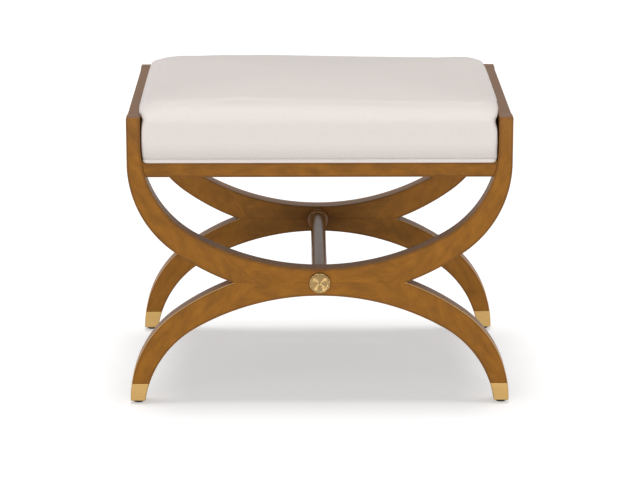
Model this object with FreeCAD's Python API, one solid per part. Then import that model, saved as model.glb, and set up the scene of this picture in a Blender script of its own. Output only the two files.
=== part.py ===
"""Ottoman on two curule frames: an upholstered seat held between the arms of a front and a rear frame.

Each frame is a U-shaped cradle glued back to back on an arch. Millimetres, +Z up, front towards -Y,
origin on the floor under the middle of the seat.
"""
import FreeCAD
import Part
import math
import os

V = FreeCAD.Vector

# Frames
FRAME_WIDTH = 610.0         # outside of the left arm to outside of the right arm
FRAME_DEPTH = 457.0         # face of the front frame to face of the rear frame
STOCK = 32.0                # thickness of the boards that both frames are sawn from
GLUE_LINE = 202.5           # floor to the joint between the cradle above and the arch below
RAIL_TOP = 400.0            # floor to the top of the seat rails
ARM_RISE = 71.0             # top of the seat rails to the top of the arms
ARM_WIDTH = 22.0            # at the straight top of an arm
HUB_HEIGHT = 44.0           # wood at the middle of a frame, cradle and arch together
EASE = 1.0                  # chamfer on the long edges of the wood

# Curves of the frames: a straight side, a side arc, and one long arc across the middle
OUTER_SIDE_RADIUS = 178.0
OUTER_TURN = 36.0           # degrees of the long arc on each side of the middle
OUTER_DIP = 25.0            # how far the long arc passes beyond the glue line
INNER_SIDE_RADIUS = 169.0
INNER_TURN = 30.0

# Scarf joints and loose tenons of the frames
SCARF_LAP = 40.0            # length of an arm's or a leg's foot along the glue line
SCARF_ANGLE = 40.0          # degrees between the scarf and the glue line
SCARF_TENON_RISE = 21.0     # glue line to the middle of a scarf's tenon
HUB_TENON_SPACING = 110.0   # between the two tenons across the glue line
TENON_THICKNESS = 8.0
TENON_WIDTH = 16.0
TENON_REACH = 9.0           # into the wood on each side of a joint
TENON_GAP = 0.2             # glue room all round a tenon
TENON_WEB = 1.5             # wood between the two tenons that meet in an arm

# Seat rails, top rails and corner blocks
RAIL_HEIGHT = 25.0
RAIL_SETBACK = 2.0          # face of the front rail behind the face of the frame
RAIL_TENON_INSET = 11.0     # face of the front rail to the middle of its tenon
SIDE_RAIL_WIDTH = 45.0
SIDE_INSET = 3.5            # outer face of a side rail or top rail inside the face of the arm
TOP_RAIL_HEIGHT = 45.0
BLOCK_LEG = 55.0
BLOCK_HEIGHT = 20.0
BLOCK_DROP = 3.0            # top of a corner block under the top of the rails

# Stretcher between the hubs, with its bolts, inserts, collars and rosettes
ROD_DIAMETER = 25.0
COLLAR_DIAMETER = 37.5
COLLAR_LENGTH = 9.0
COLLAR_GAP = 0.2
COLLAR_BANDS = 5            # of its bead, from face to face
BOLT_DIAMETER = 6.0
BOLT_HEAD_DIAMETER = 10.0
BOLT_HEAD_HEIGHT = 6.0
BOLT_BITE = 15.0            # of the bolt inside the rod
HEAD_ROOM = 2.0             # between the bolt's head and the rosette's spigot
INSERT_DIAMETER = 12.0
INSERT_LENGTH = 18.0
HOLE_GAP = 0.2              # round bolts, spigots, screws and nails
SHANK_SIDES = 8             # flats of the bars that stand for threaded ones
ROSETTE_DIAMETER = 33.5
ROSETTE_HEIGHT = 5.5
ROSETTE_RIM = 2.6           # width of the raised rim
ROSETTE_DISH = 1.4          # depth of the dished face below the rim
ROSETTE_DIMPLE = 1.6        # radius of the turning centre
SPIGOT_DIAMETER = 16.0
SPIGOT_LENGTH = 4.0

# Feet
GLIDE_HEIGHT = 4.0
GLIDE_DIAMETER = 15.0
GLIDE_CHAMFER = 1.2
NAIL_WIDTH = 2.4            # across the flats of the square nail
NAIL_LENGTH = 16.0
FERRULE_HEIGHT = 30.0
FERRULE_WALL = 1.2
FERRULE_GAP = 0.2

# Upholstered seat
SEAT_RISE = 104.0           # top of the rails to the highest point of the seat
SEAT_SIDE_GAP = 3.0         # between the seat and the arms
SEAT_CORNER = 11.0          # corner radius seen from above
SEAT_TUCK = 4.0             # how far the sides are drawn in at the welt
SEAT_TUCK_HEIGHT = 18.0
SEAT_SHOULDER = 20.0        # radius between the sides and the top
SEAT_CROWN = 9.0            # rise of the top from its shoulders to its level middle
SEAT_CROWN_RUN = 66.0       # distance over which the top rises
SEAT_CORNER_GROWTH = 14.0   # added to the corner radius over the shoulder
TUCK_STEPS = 2              # bands of the form from the welt to the straight side
SHOULDER_STEPS = 3          # bands round the shoulder
CROWN_STEPS = 3             # bands from the shoulder to the level middle
COVER_THICKNESS = 1.2
WRAP_THICKNESS = 6.0
WELT_DIAMETER = 7.0
WELT_SIDES = 8              # flats of the welt's section
WELT_CHORDS = 4             # straight runs of the welt round a corner
DECK_THICKNESS = 15.0
DECK_GAP = 0.5
DUST_COVER_THICKNESS = 0.8
DUST_COVER_MARGIN = 2.0     # between the dust cover's edge and the rails or the seat screws
SCREW_DIAMETER = 5.0
SCREW_HEAD_DIAMETER = 9.0
SCREW_HEAD_HEIGHT = 3.0
SCREW_BITE = 10.0           # of the screw inside the deck
SCREW_INSET = 17.0          # from the faces of both rails to the screw

# How far a cutting shape runs past the faces that it cuts, and how close counts as in one plane
PAST = 5.0
IN_PLANE = 1e-6

ARM_TOP = RAIL_TOP + ARM_RISE
RAIL_BOTTOM = RAIL_TOP - RAIL_HEIGHT
RAIL_MIDDLE = RAIL_TOP - RAIL_HEIGHT / 2
FACE_Y = FRAME_DEPTH / 2
INNER_Y = FACE_Y - STOCK
WELT_TOP = RAIL_TOP + WELT_DIAMETER
DECK_TOP = RAIL_TOP + DECK_THICKNESS
COUNTERBORE_DEPTH = SPIGOT_LENGTH + HEAD_ROOM + BOLT_HEAD_HEIGHT


class BasketCurve:
    """Three-centred curve, open upwards: two straight sides, two side arcs and a long arc below."""

    def __init__(self, half_span, side_radius, turn, lowest):
        self.half_span = half_span
        self.side_radius = side_radius
        self.turn = turn
        self.lowest = lowest
        angle = math.radians(turn)
        self.long_radius = side_radius + (half_span - side_radius) / math.sin(angle)
        self.long_centre = lowest + self.long_radius
        self.spring = self.long_centre - (self.long_radius - side_radius) * math.cos(angle)

    def moved_in(self, amount):
        """The parallel curve, nearer to the centres by amount."""
        return BasketCurve(
            self.half_span - amount, self.side_radius - amount, self.turn, self.lowest + amount
        )

    def side_point(self, degrees):
        """Point of the right side arc, at an angle from straight down."""
        angle = math.radians(degrees)
        return V(
            self.half_span - self.side_radius + self.side_radius * math.sin(angle),
            0,
            self.spring - self.side_radius * math.cos(angle),
        )

    def half_width(self, height):
        """Half the clear width between the two sides at a height."""
        if height >= self.spring:
            return self.half_span
        if height >= self.side_point(self.turn).z:
            drop = self.spring - height
            return self.half_span - self.side_radius + math.sqrt(self.side_radius**2 - drop**2)
        return math.sqrt(self.long_radius**2 - (self.long_centre - height) ** 2)

    def prism(self, top, y_low, y_high):
        """Solid that fills the curve up to the height top, between two depths."""
        join = self.side_point(self.turn)
        middle = self.side_point((self.turn + 90.0) / 2)
        right = [V(self.half_span, 0, max(top, self.spring + PAST)), V(self.half_span, 0, self.spring)]
        left = [flipped(point) for point in right]
        edges = [
            Part.LineSegment(*right),
            Part.Arc(right[1], middle, join),
            Part.Arc(join, V(0, 0, self.lowest), flipped(join)),
            Part.Arc(flipped(join), flipped(middle), left[1]),
            Part.LineSegment(left[1], left[0]),
            Part.LineSegment(left[0], right[0]),
        ]
        face = Part.Face(Part.Wire([edge.toShape() for edge in edges]))
        face.translate(V(0, y_low, 0))
        return face.extrude(V(0, y_high - y_low, 0))


def flipped(point):
    """The same point on the other side of the middle plane."""
    return V(-point.x, point.y, point.z)


OUTER = BasketCurve(FRAME_WIDTH / 2, OUTER_SIDE_RADIUS, OUTER_TURN, GLUE_LINE - OUTER_DIP)
INNER = BasketCurve(
    FRAME_WIDTH / 2 - ARM_WIDTH, INNER_SIDE_RADIUS, INNER_TURN, GLUE_LINE + HUB_HEIGHT / 2
)
SCARF_FOOT = OUTER.half_width(GLUE_LINE) - SCARF_LAP
SIDE_RAIL_OUTER = OUTER.half_width(RAIL_BOTTOM) - SIDE_INSET
SIDE_RAIL_INNER = SIDE_RAIL_OUTER - SIDE_RAIL_WIDTH
LEFT_RIGHT = {"left": -1, "right": 1}
FRONT_REAR = {"front": -1, "rear": 1}


def box(low, high):
    """Box between two opposite corners."""
    size = V(*high) - V(*low)
    return Part.makeBox(size.x, size.y, size.z, V(*low))


def box_round(centre, size):
    """Box of a size about its centre."""
    half = V(*size) * 0.5
    return box(V(*centre) - half, V(*centre) + half)


def turned(profile, place, axis):
    """Solid of revolution. The profile's points are (radius, length along the axis)."""
    points = [V(radius, 0, length) for radius, length in profile]
    face = Part.Face(Part.makePolygon(points + points[:1]))
    solid = face.revolve(V(0, 0, 0), V(0, 0, 1), 360)
    solid.Placement = FreeCAD.Placement(V(*place), FreeCAD.Rotation(V(0, 0, 1), V(*axis)))
    return solid


def hub_cylinder(diameter, length, y_start):
    """Cylinder along the stretcher's axis, from a depth towards the rear."""
    return Part.makeCylinder(diameter / 2, length, V(0, y_start, GLUE_LINE), V(0, 1, 0))


def polygon_points(sides, radius):
    """Corners of a regular polygon about the origin, with flats square to X and Y."""
    angles = [math.pi * (2 * corner + 1) / sides for corner in range(sides)]
    return [V(radius * math.cos(angle), radius * math.sin(angle), 0) for angle in angles]


def shank(across, length, place, way):
    """Bar with flats that stands for a threaded one, from a place along a direction."""
    corners = polygon_points(SHANK_SIDES, across / 2 / math.cos(math.pi / SHANK_SIDES))
    bar = Part.Face(Part.makePolygon(corners + corners[:1])).extrude(V(0, 0, length))
    bar.Placement = FreeCAD.Placement(place, FreeCAD.Rotation(V(0, 0, 1), way))
    return bar


def hub_shank(across, length, y_start):
    """Bar with flats along the stretcher's axis, from a depth towards the rear."""
    return shank(across, length, V(0, y_start, GLUE_LINE), V(0, 1, 0))


def upside_down(shape):
    """The shape mirrored about the glue line, which turns a cradle into an arch."""
    return shape.mirror(V(0, 0, GLUE_LINE), V(0, 0, 1))


def mirrored_height(height):
    """Height that upside_down brings to the given one."""
    return 2 * GLUE_LINE - height


def on_side(shape, side):
    """A right-hand shape, kept or mirrored to the left."""
    return shape if side > 0 else shape.mirror(V(0, 0, 0), V(1, 0, 0))


def on_end(shape, end):
    """A front shape, kept or mirrored to the rear."""
    return shape if end < 0 else shape.mirror(V(0, 0, 0), V(0, 1, 0))


def all_corners(front_right):
    """The four copies of a shape that belongs to the front right corner."""
    sides = LEFT_RIGHT.values()
    return [on_end(on_side(front_right, side), end) for end in FRONT_REAR.values() for side in sides]


def eased(shape, y_faces, skip_heights):
    """Chamfers the edges in the planes y_faces, apart from level edges at skip_heights."""
    edges = []
    for edge in shape.Edges:
        bounds = edge.BoundBox
        on_face = bounds.YLength < IN_PLANE and min(abs(bounds.YMin - y) for y in y_faces) < IN_PLANE
        level = bounds.ZLength < IN_PLANE and min(abs(bounds.ZMin - z) for z in skip_heights) < IN_PLANE
        if on_face and not level:
            edges.append(edge)
    return shape.makeChamfer(EASE, edges)


def front_half_frame(top):
    """Wood between the two curves of the front frame, from the glue line up to top."""
    outline = OUTER.prism(top, -FACE_Y, -INNER_Y)
    span = FRAME_WIDTH / 2
    outline = outline.common(box((-span, -FACE_Y, GLUE_LINE), (span, -INNER_Y, top)))
    hollow = INNER.prism(top + PAST, -FACE_Y - PAST, -INNER_Y + PAST)
    return eased(outline.cut(hollow), (-FACE_Y, -INNER_Y), (GLUE_LINE, top))


def scarf_length():
    """Length of a scarf line, from the glue line to where it meets the long arc of the inner curve."""
    angle = math.radians(SCARF_ANGLE)
    drop = GLUE_LINE - INNER.long_centre
    along = SCARF_FOOT * math.cos(angle) + drop * math.sin(angle)
    return -along - math.sqrt(along**2 - SCARF_FOOT**2 - drop**2 + INNER.long_radius**2)


def scarf_wedge():
    """Prism between the two scarf planes, which cuts the middle block out of a half frame."""
    angle = math.radians(SCARF_ANGLE)
    reach = scarf_length() + PAST
    foot = V(SCARF_FOOT, 0, GLUE_LINE)
    right = [foot, foot + V(reach * math.cos(angle), 0, reach * math.sin(angle))]
    corners = right + [flipped(point) for point in reversed(right)]
    face = Part.Face(Part.makePolygon(corners + corners[:1]))
    face.translate(V(0, -FACE_Y - PAST, 0))
    return face.extrude(V(0, STOCK + 2 * PAST, 0))


def tenon_shape(centre, size, room):
    """Loose tenon about its centre. room is added at both ends of each axis for its mortise."""
    return box_round(centre, V(*size) + V(*room) * 2)


def scarf_tenon(gap):
    """Right-hand tenon across the scarf of the front cradle."""
    size = (2 * TENON_REACH, TENON_THICKNESS, TENON_WIDTH)
    shape = tenon_shape((0, 0, 0), size, (gap, 0, gap))
    shape.rotate(V(0, 0, 0), V(0, 1, 0), 90.0 - SCARF_ANGLE)
    run = SCARF_TENON_RISE / math.tan(math.radians(SCARF_ANGLE))
    shape.translate(V(SCARF_FOOT + run, -FACE_Y + STOCK / 2, GLUE_LINE + SCARF_TENON_RISE))
    return shape


def hub_tenon(gap):
    """Right-hand tenon across the glue line of the front frame."""
    centre = (HUB_TENON_SPACING / 2, -FACE_Y + STOCK / 2, GLUE_LINE)
    return tenon_shape(centre, (TENON_WIDTH, TENON_THICKNESS, 2 * TENON_REACH), (gap, 0, gap))


def front_rail_tenon(gap):
    """Right-hand tenon between the front seat rail and the arm."""
    centre = (INNER.half_width(RAIL_MIDDLE), -FACE_Y + RAIL_SETBACK + RAIL_TENON_INSET, RAIL_MIDDLE)
    return tenon_shape(centre, (2 * TENON_REACH, TENON_THICKNESS, TENON_WIDTH), (gap, 0, gap))


def side_rail_tenon(gap):
    """Front right tenon between a side rail and the arm, clear of the front rail's tenon."""
    x = INNER.half_width(RAIL_MIDDLE) + TENON_REACH + TENON_WEB + TENON_THICKNESS / 2
    size = (TENON_THICKNESS, 2 * TENON_REACH, TENON_WIDTH)
    return tenon_shape((x, -INNER_Y, RAIL_MIDDLE), size, (0, gap, gap))


def top_rail_tenon(gap):
    """Front right tenon between a top rail and the arm."""
    x = (INNER.half_span + OUTER.half_span - SIDE_INSET) / 2
    centre = (x, -INNER_Y, ARM_TOP - TOP_RAIL_HEIGHT / 2)
    return tenon_shape(centre, (TENON_THICKNESS, 2 * TENON_REACH, TENON_WIDTH), (0, gap, gap))


def hub_hole():
    """Bolt hole through the front hub, with the counterbore that takes the rosette's spigot."""
    bolt = hub_shank(BOLT_DIAMETER + 2 * HOLE_GAP, STOCK, -FACE_Y)
    return bolt.fuse(hub_cylinder(SPIGOT_DIAMETER + 2 * HOLE_GAP, COUNTERBORE_DEPTH, -FACE_Y))


def foot_place():
    """Middle of the front right foot, at the height of the glide's top."""
    height = mirrored_height(GLIDE_HEIGHT)
    return V((OUTER.half_width(height) + INNER.half_width(height)) / 2, -FACE_Y + STOCK / 2, GLIDE_HEIGHT)


def foot_core(inset, low, high):
    """Front leg section drawn in by inset on every side, both legs, between two heights."""
    top = mirrored_height(low)
    core = OUTER.moved_in(inset).prism(top, -FACE_Y + inset, -INNER_Y - inset)
    core = core.cut(INNER.moved_in(-inset).prism(top + PAST, -FACE_Y - PAST, -INNER_Y + PAST))
    span = FRAME_WIDTH / 2
    return upside_down(core).common(box((0, -FACE_Y, low), (span, -INNER_Y, high)))


def nail(gap):
    """Square nail of the front right glide, with a gap for its hole."""
    width = NAIL_WIDTH + 2 * gap
    length = NAIL_LENGTH + gap
    return box_round(foot_place() + V(0, 0, length / 2), (width, width, length))


def make_cradle():
    """Right arm and middle block of the front cradle."""
    whole = front_half_frame(ARM_TOP)
    wedge = scarf_wedge()
    block = whole.common(wedge).cut([hub_hole()])
    right_half = box((0, -FACE_Y, GLUE_LINE), (FRAME_WIDTH / 2, -INNER_Y, ARM_TOP))
    arm = whole.cut(wedge).common(right_half)
    arm = arm.cut([scarf_tenon(TENON_GAP), front_rail_tenon(TENON_GAP)])
    arm = arm.cut([side_rail_tenon(TENON_GAP), top_rail_tenon(TENON_GAP)])
    mortises = [on_side(make(TENON_GAP), side) for make in (scarf_tenon, hub_tenon) for side in (-1, 1)]
    return arm, block.cut(mortises)


def make_arch():
    """Right leg, right ferrule and middle block of the front arch."""
    ferrule_top = GLIDE_HEIGHT + FERRULE_HEIGHT
    whole = front_half_frame(mirrored_height(GLIDE_HEIGHT))
    wedge = scarf_wedge()
    block = upside_down(whole.common(wedge)).cut([hub_hole()])
    mortises = [on_side(upside_down(scarf_tenon(TENON_GAP)), side) for side in (-1, 1)]
    block = block.cut(mortises + [on_side(hub_tenon(TENON_GAP), side) for side in (-1, 1)])
    right_leg = upside_down(whole.cut(wedge))
    span = FRAME_WIDTH / 2
    wood = right_leg.common(box((0, -FACE_Y, ferrule_top), (span, -INNER_Y, GLUE_LINE)))
    sheath = right_leg.common(box((0, -FACE_Y, GLIDE_HEIGHT), (span, -INNER_Y, ferrule_top)))
    floor_top = GLIDE_HEIGHT + FERRULE_WALL
    core = foot_core(FERRULE_WALL + FERRULE_GAP, floor_top + FERRULE_GAP, ferrule_top)
    leg = wood.fuse(core).removeSplitter()
    leg = leg.cut([upside_down(scarf_tenon(TENON_GAP)), nail(HOLE_GAP)])
    ferrule = sheath.cut([foot_core(FERRULE_WALL, floor_top, ferrule_top), nail(HOLE_GAP)])
    return leg, ferrule, block


def frame_tenons():
    """All the loose tenons inside the front frame."""
    right = [scarf_tenon(0), upside_down(scarf_tenon(0)), hub_tenon(0)]
    return [on_side(shape, side) for side in LEFT_RIGHT.values() for shape in right]


def make_glide():
    """Front right glide: a round nylon pad on a nail."""
    radius = GLIDE_DIAMETER / 2
    foot = foot_place()
    pad = Part.makeCylinder(radius, GLIDE_HEIGHT, V(foot.x, foot.y, 0))
    lower_edge = [edge for edge in pad.Edges if edge.BoundBox.ZMax < GLIDE_HEIGHT / 2]
    return pad.makeChamfer(GLIDE_CHAMFER, lower_edge).fuse(nail(0)).removeSplitter()


def make_front_rail():
    """Front seat rail, coped to the inner curve of both arms."""
    face = -FACE_Y + RAIL_SETBACK
    rail = box((-FRAME_WIDTH / 2, face, RAIL_BOTTOM), (FRAME_WIDTH / 2, -INNER_Y, RAIL_TOP))
    front_edges = [edge for edge in rail.Edges if edge.BoundBox.YMax < face + IN_PLANE]
    rail = rail.makeChamfer(EASE, [edge for edge in front_edges if edge.BoundBox.ZLength < IN_PLANE])
    rail = rail.common(INNER.prism(ARM_TOP, -FACE_Y - PAST, -INNER_Y + PAST))
    return rail.cut([on_side(front_rail_tenon(TENON_GAP), side) for side in (-1, 1)])


def long_rail(x_low, x_high, z_low, z_high):
    """Rail from the front frame to the rear frame, with its four long edges eased."""
    rail = box((x_low, -INNER_Y, z_low), (x_high, INNER_Y, z_high))
    along = [edge for edge in rail.Edges if edge.BoundBox.YLength > INNER_Y]
    return rail.makeChamfer(EASE, along)


def make_side_rail():
    """Right seat rail, which carries the side of the seat deck."""
    rail = long_rail(SIDE_RAIL_INNER, SIDE_RAIL_OUTER, RAIL_BOTTOM, RAIL_TOP)
    return rail.cut([on_end(side_rail_tenon(TENON_GAP), end) for end in (-1, 1)])


def make_top_rail():
    """Right top rail, flush with the arms' tops and with their inner faces."""
    outer = OUTER.half_span - SIDE_INSET
    rail = long_rail(INNER.half_span, outer, ARM_TOP - TOP_RAIL_HEIGHT, ARM_TOP)
    return rail.cut([on_end(top_rail_tenon(TENON_GAP), end) for end in (-1, 1)])


def block_levels():
    """Bottom and top of the corner blocks."""
    top = RAIL_TOP - BLOCK_DROP
    return top - BLOCK_HEIGHT, top


def screw_place():
    """Where the front right seat screw enters the bottom of its block."""
    return V(SIDE_RAIL_INNER - SCREW_INSET, -INNER_Y + SCREW_INSET, block_levels()[0])


def screw_hole(gap):
    """Way of the front right seat screw, from under its block into the deck."""
    length = RAIL_TOP + SCREW_BITE + gap - block_levels()[0]
    return shank(SCREW_DIAMETER + 2 * gap, length, screw_place(), V(0, 0, 1))


def make_corner_block():
    """Front right glue block in the corner between the two rails."""
    bottom, top = block_levels()
    corner = V(SIDE_RAIL_INNER, -INNER_Y, bottom)
    points = [corner, corner + V(-BLOCK_LEG, 0, 0), corner + V(0, BLOCK_LEG, 0), corner]
    block = Part.Face(Part.makePolygon(points)).extrude(V(0, 0, top - bottom))
    return block.cut(screw_hole(HOLE_GAP))


def make_seat_screw():
    """Front right seat screw, with its head under the corner block."""
    head = shank(SCREW_HEAD_DIAMETER, SCREW_HEAD_HEIGHT, screw_place(), V(0, 0, -1))
    return head.fuse(screw_hole(0))


def make_rod():
    """Round stretcher between the hubs, bored at both ends for the threaded inserts."""
    rod = hub_cylinder(ROD_DIAMETER, 2 * INNER_Y, -INNER_Y)
    bore = hub_shank(INSERT_DIAMETER, INSERT_LENGTH, -INNER_Y)
    return rod.cut([on_end(bore, end) for end in (-1, 1)])


def make_insert():
    """Threaded insert in the front end of the rod."""
    body = hub_shank(INSERT_DIAMETER, INSERT_LENGTH, -INNER_Y)
    return body.cut(hub_shank(BOLT_DIAMETER + 2 * HOLE_GAP, INSERT_LENGTH, -INNER_Y))


def make_collar():
    """Turned bead round the front end of the rod, against the hub."""
    bead = COLLAR_LENGTH / 2
    middle = COLLAR_DIAMETER / 2 - bead
    bore = ROD_DIAMETER / 2 + COLLAR_GAP
    profile = [(bore, 0)]
    for step in range(COLLAR_BANDS + 1):
        angle = math.pi * step / COLLAR_BANDS
        profile.append((middle + bead * math.sin(angle), bead - bead * math.cos(angle)))
    profile.append((bore, COLLAR_LENGTH))
    return turned(profile, (0, -INNER_Y, GLUE_LINE), (0, 1, 0))


def make_bolt():
    """Machine screw from the front hub's counterbore into the rod's insert."""
    seat = -FACE_Y + COUNTERBORE_DEPTH
    head = hub_shank(BOLT_HEAD_DIAMETER, BOLT_HEAD_HEIGHT, seat - BOLT_HEAD_HEIGHT)
    return head.fuse(hub_shank(BOLT_DIAMETER, BOLT_BITE - INNER_Y - seat, seat))


def make_rosette():
    """Turned brass rosette on the front hub: a rim, a dished face with a turning centre, and a spigot."""
    radius = ROSETTE_DIAMETER / 2
    dish = radius - ROSETTE_RIM
    face = ROSETTE_HEIGHT - ROSETTE_DISH
    profile = [
        (0, -SPIGOT_LENGTH),
        (SPIGOT_DIAMETER / 2, -SPIGOT_LENGTH),
        (SPIGOT_DIAMETER / 2, 0),
        (radius, 0),
        (radius, ROSETTE_HEIGHT - ROSETTE_RIM / 2),
        (radius - ROSETTE_RIM / 2, ROSETTE_HEIGHT),
        (dish, face),
        (ROSETTE_DIMPLE, face + ROSETTE_DISH / 2),
        (0, face - ROSETTE_DISH / 2),
    ]
    return turned(profile, (0, -FACE_Y, GLUE_LINE), (0, -1, 0))


def rounded_rectangle(half_x, half_y, radius, height):
    """Level wire of four lines and four quarter arcs."""
    diagonal = radius * (1 - math.sqrt(0.5))
    edges = []
    for x_sign, y_sign, x_first in ((1, -1, False), (1, 1, True), (-1, 1, False), (-1, -1, True)):
        x, y = x_sign * half_x, y_sign * half_y
        on_x = V(x - x_sign * radius, y, height)
        on_y = V(x, y - y_sign * radius, height)
        bend = V(x - x_sign * diagonal, y - y_sign * diagonal, height)
        start, end = (on_y, on_x) if x_first else (on_x, on_y)
        edges.append((start, bend, end))
    wire = []
    for (start, bend, end), following in zip(edges, edges[1:] + edges[:1]):
        wire.append(Part.Arc(start, bend, end).toShape())
        wire.append(Part.LineSegment(end, following[0]).toShape())
    return Part.Wire(wire)


def seat_section(height, draw_in, corner):
    """Outline of the seat at a height: it keeps its gap from the arms, and is drawn in further."""
    half_x = INNER.half_width(height) - SEAT_SIDE_GAP - draw_in
    return rounded_rectangle(half_x, FACE_Y - draw_in, corner, height)


def seat_body(inset):
    """Seat form, shrunk by inset: tucked in at the welt, boxy, with round shoulders and a crowned top."""
    radius = SEAT_SHOULDER - inset
    edge_top = RAIL_TOP + SEAT_RISE - SEAT_CROWN - inset
    sections = []
    for step in range(TUCK_STEPS + 1):
        angle = math.pi / 2 * step / TUCK_STEPS
        draw_in = inset + SEAT_TUCK * (1 - math.sin(angle))
        height = WELT_TOP + SEAT_TUCK_HEIGHT * (1 - math.cos(angle))
        sections.append(seat_section(height, draw_in, SEAT_CORNER))
    for step in range(SHOULDER_STEPS + 1):
        angle = math.pi / 2 * step / SHOULDER_STEPS
        draw_in = inset + radius * (1 - math.cos(angle))
        corner = SEAT_CORNER + SEAT_CORNER_GROWTH * (1 - math.cos(angle))
        sections.append(seat_section(edge_top - radius * (1 - math.sin(angle)), draw_in, corner))
    corner = SEAT_CORNER + SEAT_CORNER_GROWTH
    for step in range(1, CROWN_STEPS + 1):
        height = edge_top + SEAT_CROWN * math.sin(math.pi / 2 * step / CROWN_STEPS)
        draw_in = inset + radius + SEAT_CROWN_RUN * step / CROWN_STEPS
        sections.append(seat_section(height, draw_in, corner))
    return Part.makeLoft(sections, True, True)


def foam_block(bottom):
    """Block of foam inside the wrap, from a height up, with its top edges bevelled under the shoulder."""
    layers = COVER_THICKNESS + WRAP_THICKNESS
    top = RAIL_TOP + SEAT_RISE - SEAT_CROWN - layers
    bevel = (SEAT_SHOULDER - layers) * (2 - math.sqrt(2))
    corner = SEAT_CORNER + SEAT_CORNER_GROWTH
    half_x = deck_half_width() + DECK_GAP
    half_y = deck_half_depth() + DECK_GAP
    sections = [rounded_rectangle(half_x, half_y, corner, height) for height in (bottom, top - bevel)]
    sections.append(rounded_rectangle(half_x - bevel, half_y - bevel, corner, top))
    return Part.makeLoft(sections, True, True)


def make_soft_layers():
    """Cover, fibre wrap and foam, each inside the last."""
    under_cover = seat_body(COVER_THICKNESS)
    return {
        "seat_cover": seat_body(0).cut(under_cover),
        "seat_wrap": under_cover.cut(foam_block(RAIL_TOP)),
        "seat_foam": foam_block(DECK_TOP),
    }


def make_welt():
    """Welt under the lower edge of the cover, resting on the rails."""
    draw_in = SEAT_TUCK + COVER_THICKNESS / 2
    start = V(0, draw_in - FACE_Y, RAIL_TOP + WELT_DIAMETER / 2)
    points = [start]
    for edge in seat_section(start.z, draw_in, SEAT_CORNER).Edges:
        chords = WELT_CHORDS if isinstance(edge.Curve, Part.Circle) else 1
        points += edge.discretize(chords + 1)[:-1]
    path = Part.makePolygon(points + points[:1])
    corners = polygon_points(WELT_SIDES, WELT_DIAMETER / 2 / math.cos(math.pi / WELT_SIDES))
    section = [start + V(0, corner.x, corner.y) for corner in corners]
    return path.makePipeShell([Part.makePolygon(section + section[:1])], True, False, 1)


def deck_half_width():
    """Half the deck's width, inside the wrap at the welt."""
    draw_in = SEAT_TUCK + COVER_THICKNESS + WRAP_THICKNESS + DECK_GAP
    return INNER.half_width(WELT_TOP) - SEAT_SIDE_GAP - draw_in


def deck_half_depth():
    """Half the deck's depth, inside the wrap at the welt."""
    return FACE_Y - SEAT_TUCK - COVER_THICKNESS - WRAP_THICKNESS - DECK_GAP


def make_deck():
    """Plywood deck on the rails, inside the wrap, with pilot holes for the seat screws."""
    corner = SEAT_CORNER + SEAT_CORNER_GROWTH
    outline = rounded_rectangle(deck_half_width(), deck_half_depth(), corner, RAIL_TOP)
    deck = Part.Face(outline).extrude(V(0, 0, DECK_THICKNESS))
    return deck.cut(all_corners(screw_hole(0)))


def make_dust_cover():
    """Black cloth under the deck, inside the rails, with its corners cut off clear of the seat screws."""
    half_x = SIDE_RAIL_INNER - DUST_COVER_MARGIN
    half_y = INNER_Y - DUST_COVER_MARGIN
    cut = 2 * SCREW_INSET + SCREW_DIAMETER + DUST_COVER_MARGIN
    quarter = [V(half_x, half_y - cut, 0), V(half_x - cut, half_y, 0)]
    back = quarter + [flipped(point) for point in reversed(quarter)]
    outline = back + [V(point.x, -point.y, 0) for point in reversed(back)]
    sheet = Part.Face(Part.makePolygon(outline + outline[:1]))
    sheet.translate(V(0, 0, RAIL_TOP - DUST_COVER_THICKNESS))
    return sheet.extrude(V(0, 0, DUST_COVER_THICKNESS))


def frame_nodes():
    """Wood and brass of both frames, and the glides."""
    arm, cradle_block = make_cradle()
    leg, ferrule, arch_block = make_arch()
    nodes = {}
    for end_name, end in FRONT_REAR.items():
        for side_name, side in LEFT_RIGHT.items():
            corner = end_name + "_" + side_name
            for piece, shape in (("arm", arm), ("leg", leg), ("ferrule", ferrule)):
                nodes[corner + "_" + piece] = on_end(on_side(shape, side), end)
        nodes[end_name + "_cradle_block"] = on_end(cradle_block, end)
        nodes[end_name + "_arch_block"] = on_end(arch_block, end)
        nodes[end_name + "_frame_tenons"] = Part.Compound([on_end(t, end) for t in frame_tenons()])
        nodes[end_name + "_seat_rail"] = on_end(make_front_rail(), end)
    nodes["foot_glides"] = Part.Compound(all_corners(make_glide()))
    return nodes


def rail_nodes():
    """Side rails, top rails, stretcher and what holds them."""
    nodes = {}
    for side_name, side in LEFT_RIGHT.items():
        nodes[side_name + "_seat_rail"] = on_side(make_side_rail(), side)
        nodes[side_name + "_top_rail"] = on_side(make_top_rail(), side)
    rail_tenons = all_corners(front_rail_tenon(0)) + all_corners(side_rail_tenon(0))
    nodes["seat_rail_tenons"] = Part.Compound(rail_tenons)
    nodes["top_rail_tenons"] = Part.Compound(all_corners(top_rail_tenon(0)))
    nodes["corner_blocks"] = Part.Compound(all_corners(make_corner_block()))
    nodes["stretcher_rod"] = make_rod()
    hub_pieces = {"rod_inserts": make_insert(), "rod_collars": make_collar()}
    hub_pieces.update({"hub_bolts": make_bolt(), "hub_rosettes": make_rosette()})
    for name, shape in hub_pieces.items():
        nodes[name] = Part.Compound([on_end(shape, end) for end in FRONT_REAR.values()])
    return nodes


def seat_nodes():
    """The upholstered seat and the screws that hold it down."""
    nodes = make_soft_layers()
    nodes["seat_welt"] = make_welt()
    nodes["seat_deck"] = make_deck()
    nodes["dust_cover"] = make_dust_cover()
    nodes["seat_screws"] = Part.Compound(all_corners(make_seat_screw()))
    return nodes


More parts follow.
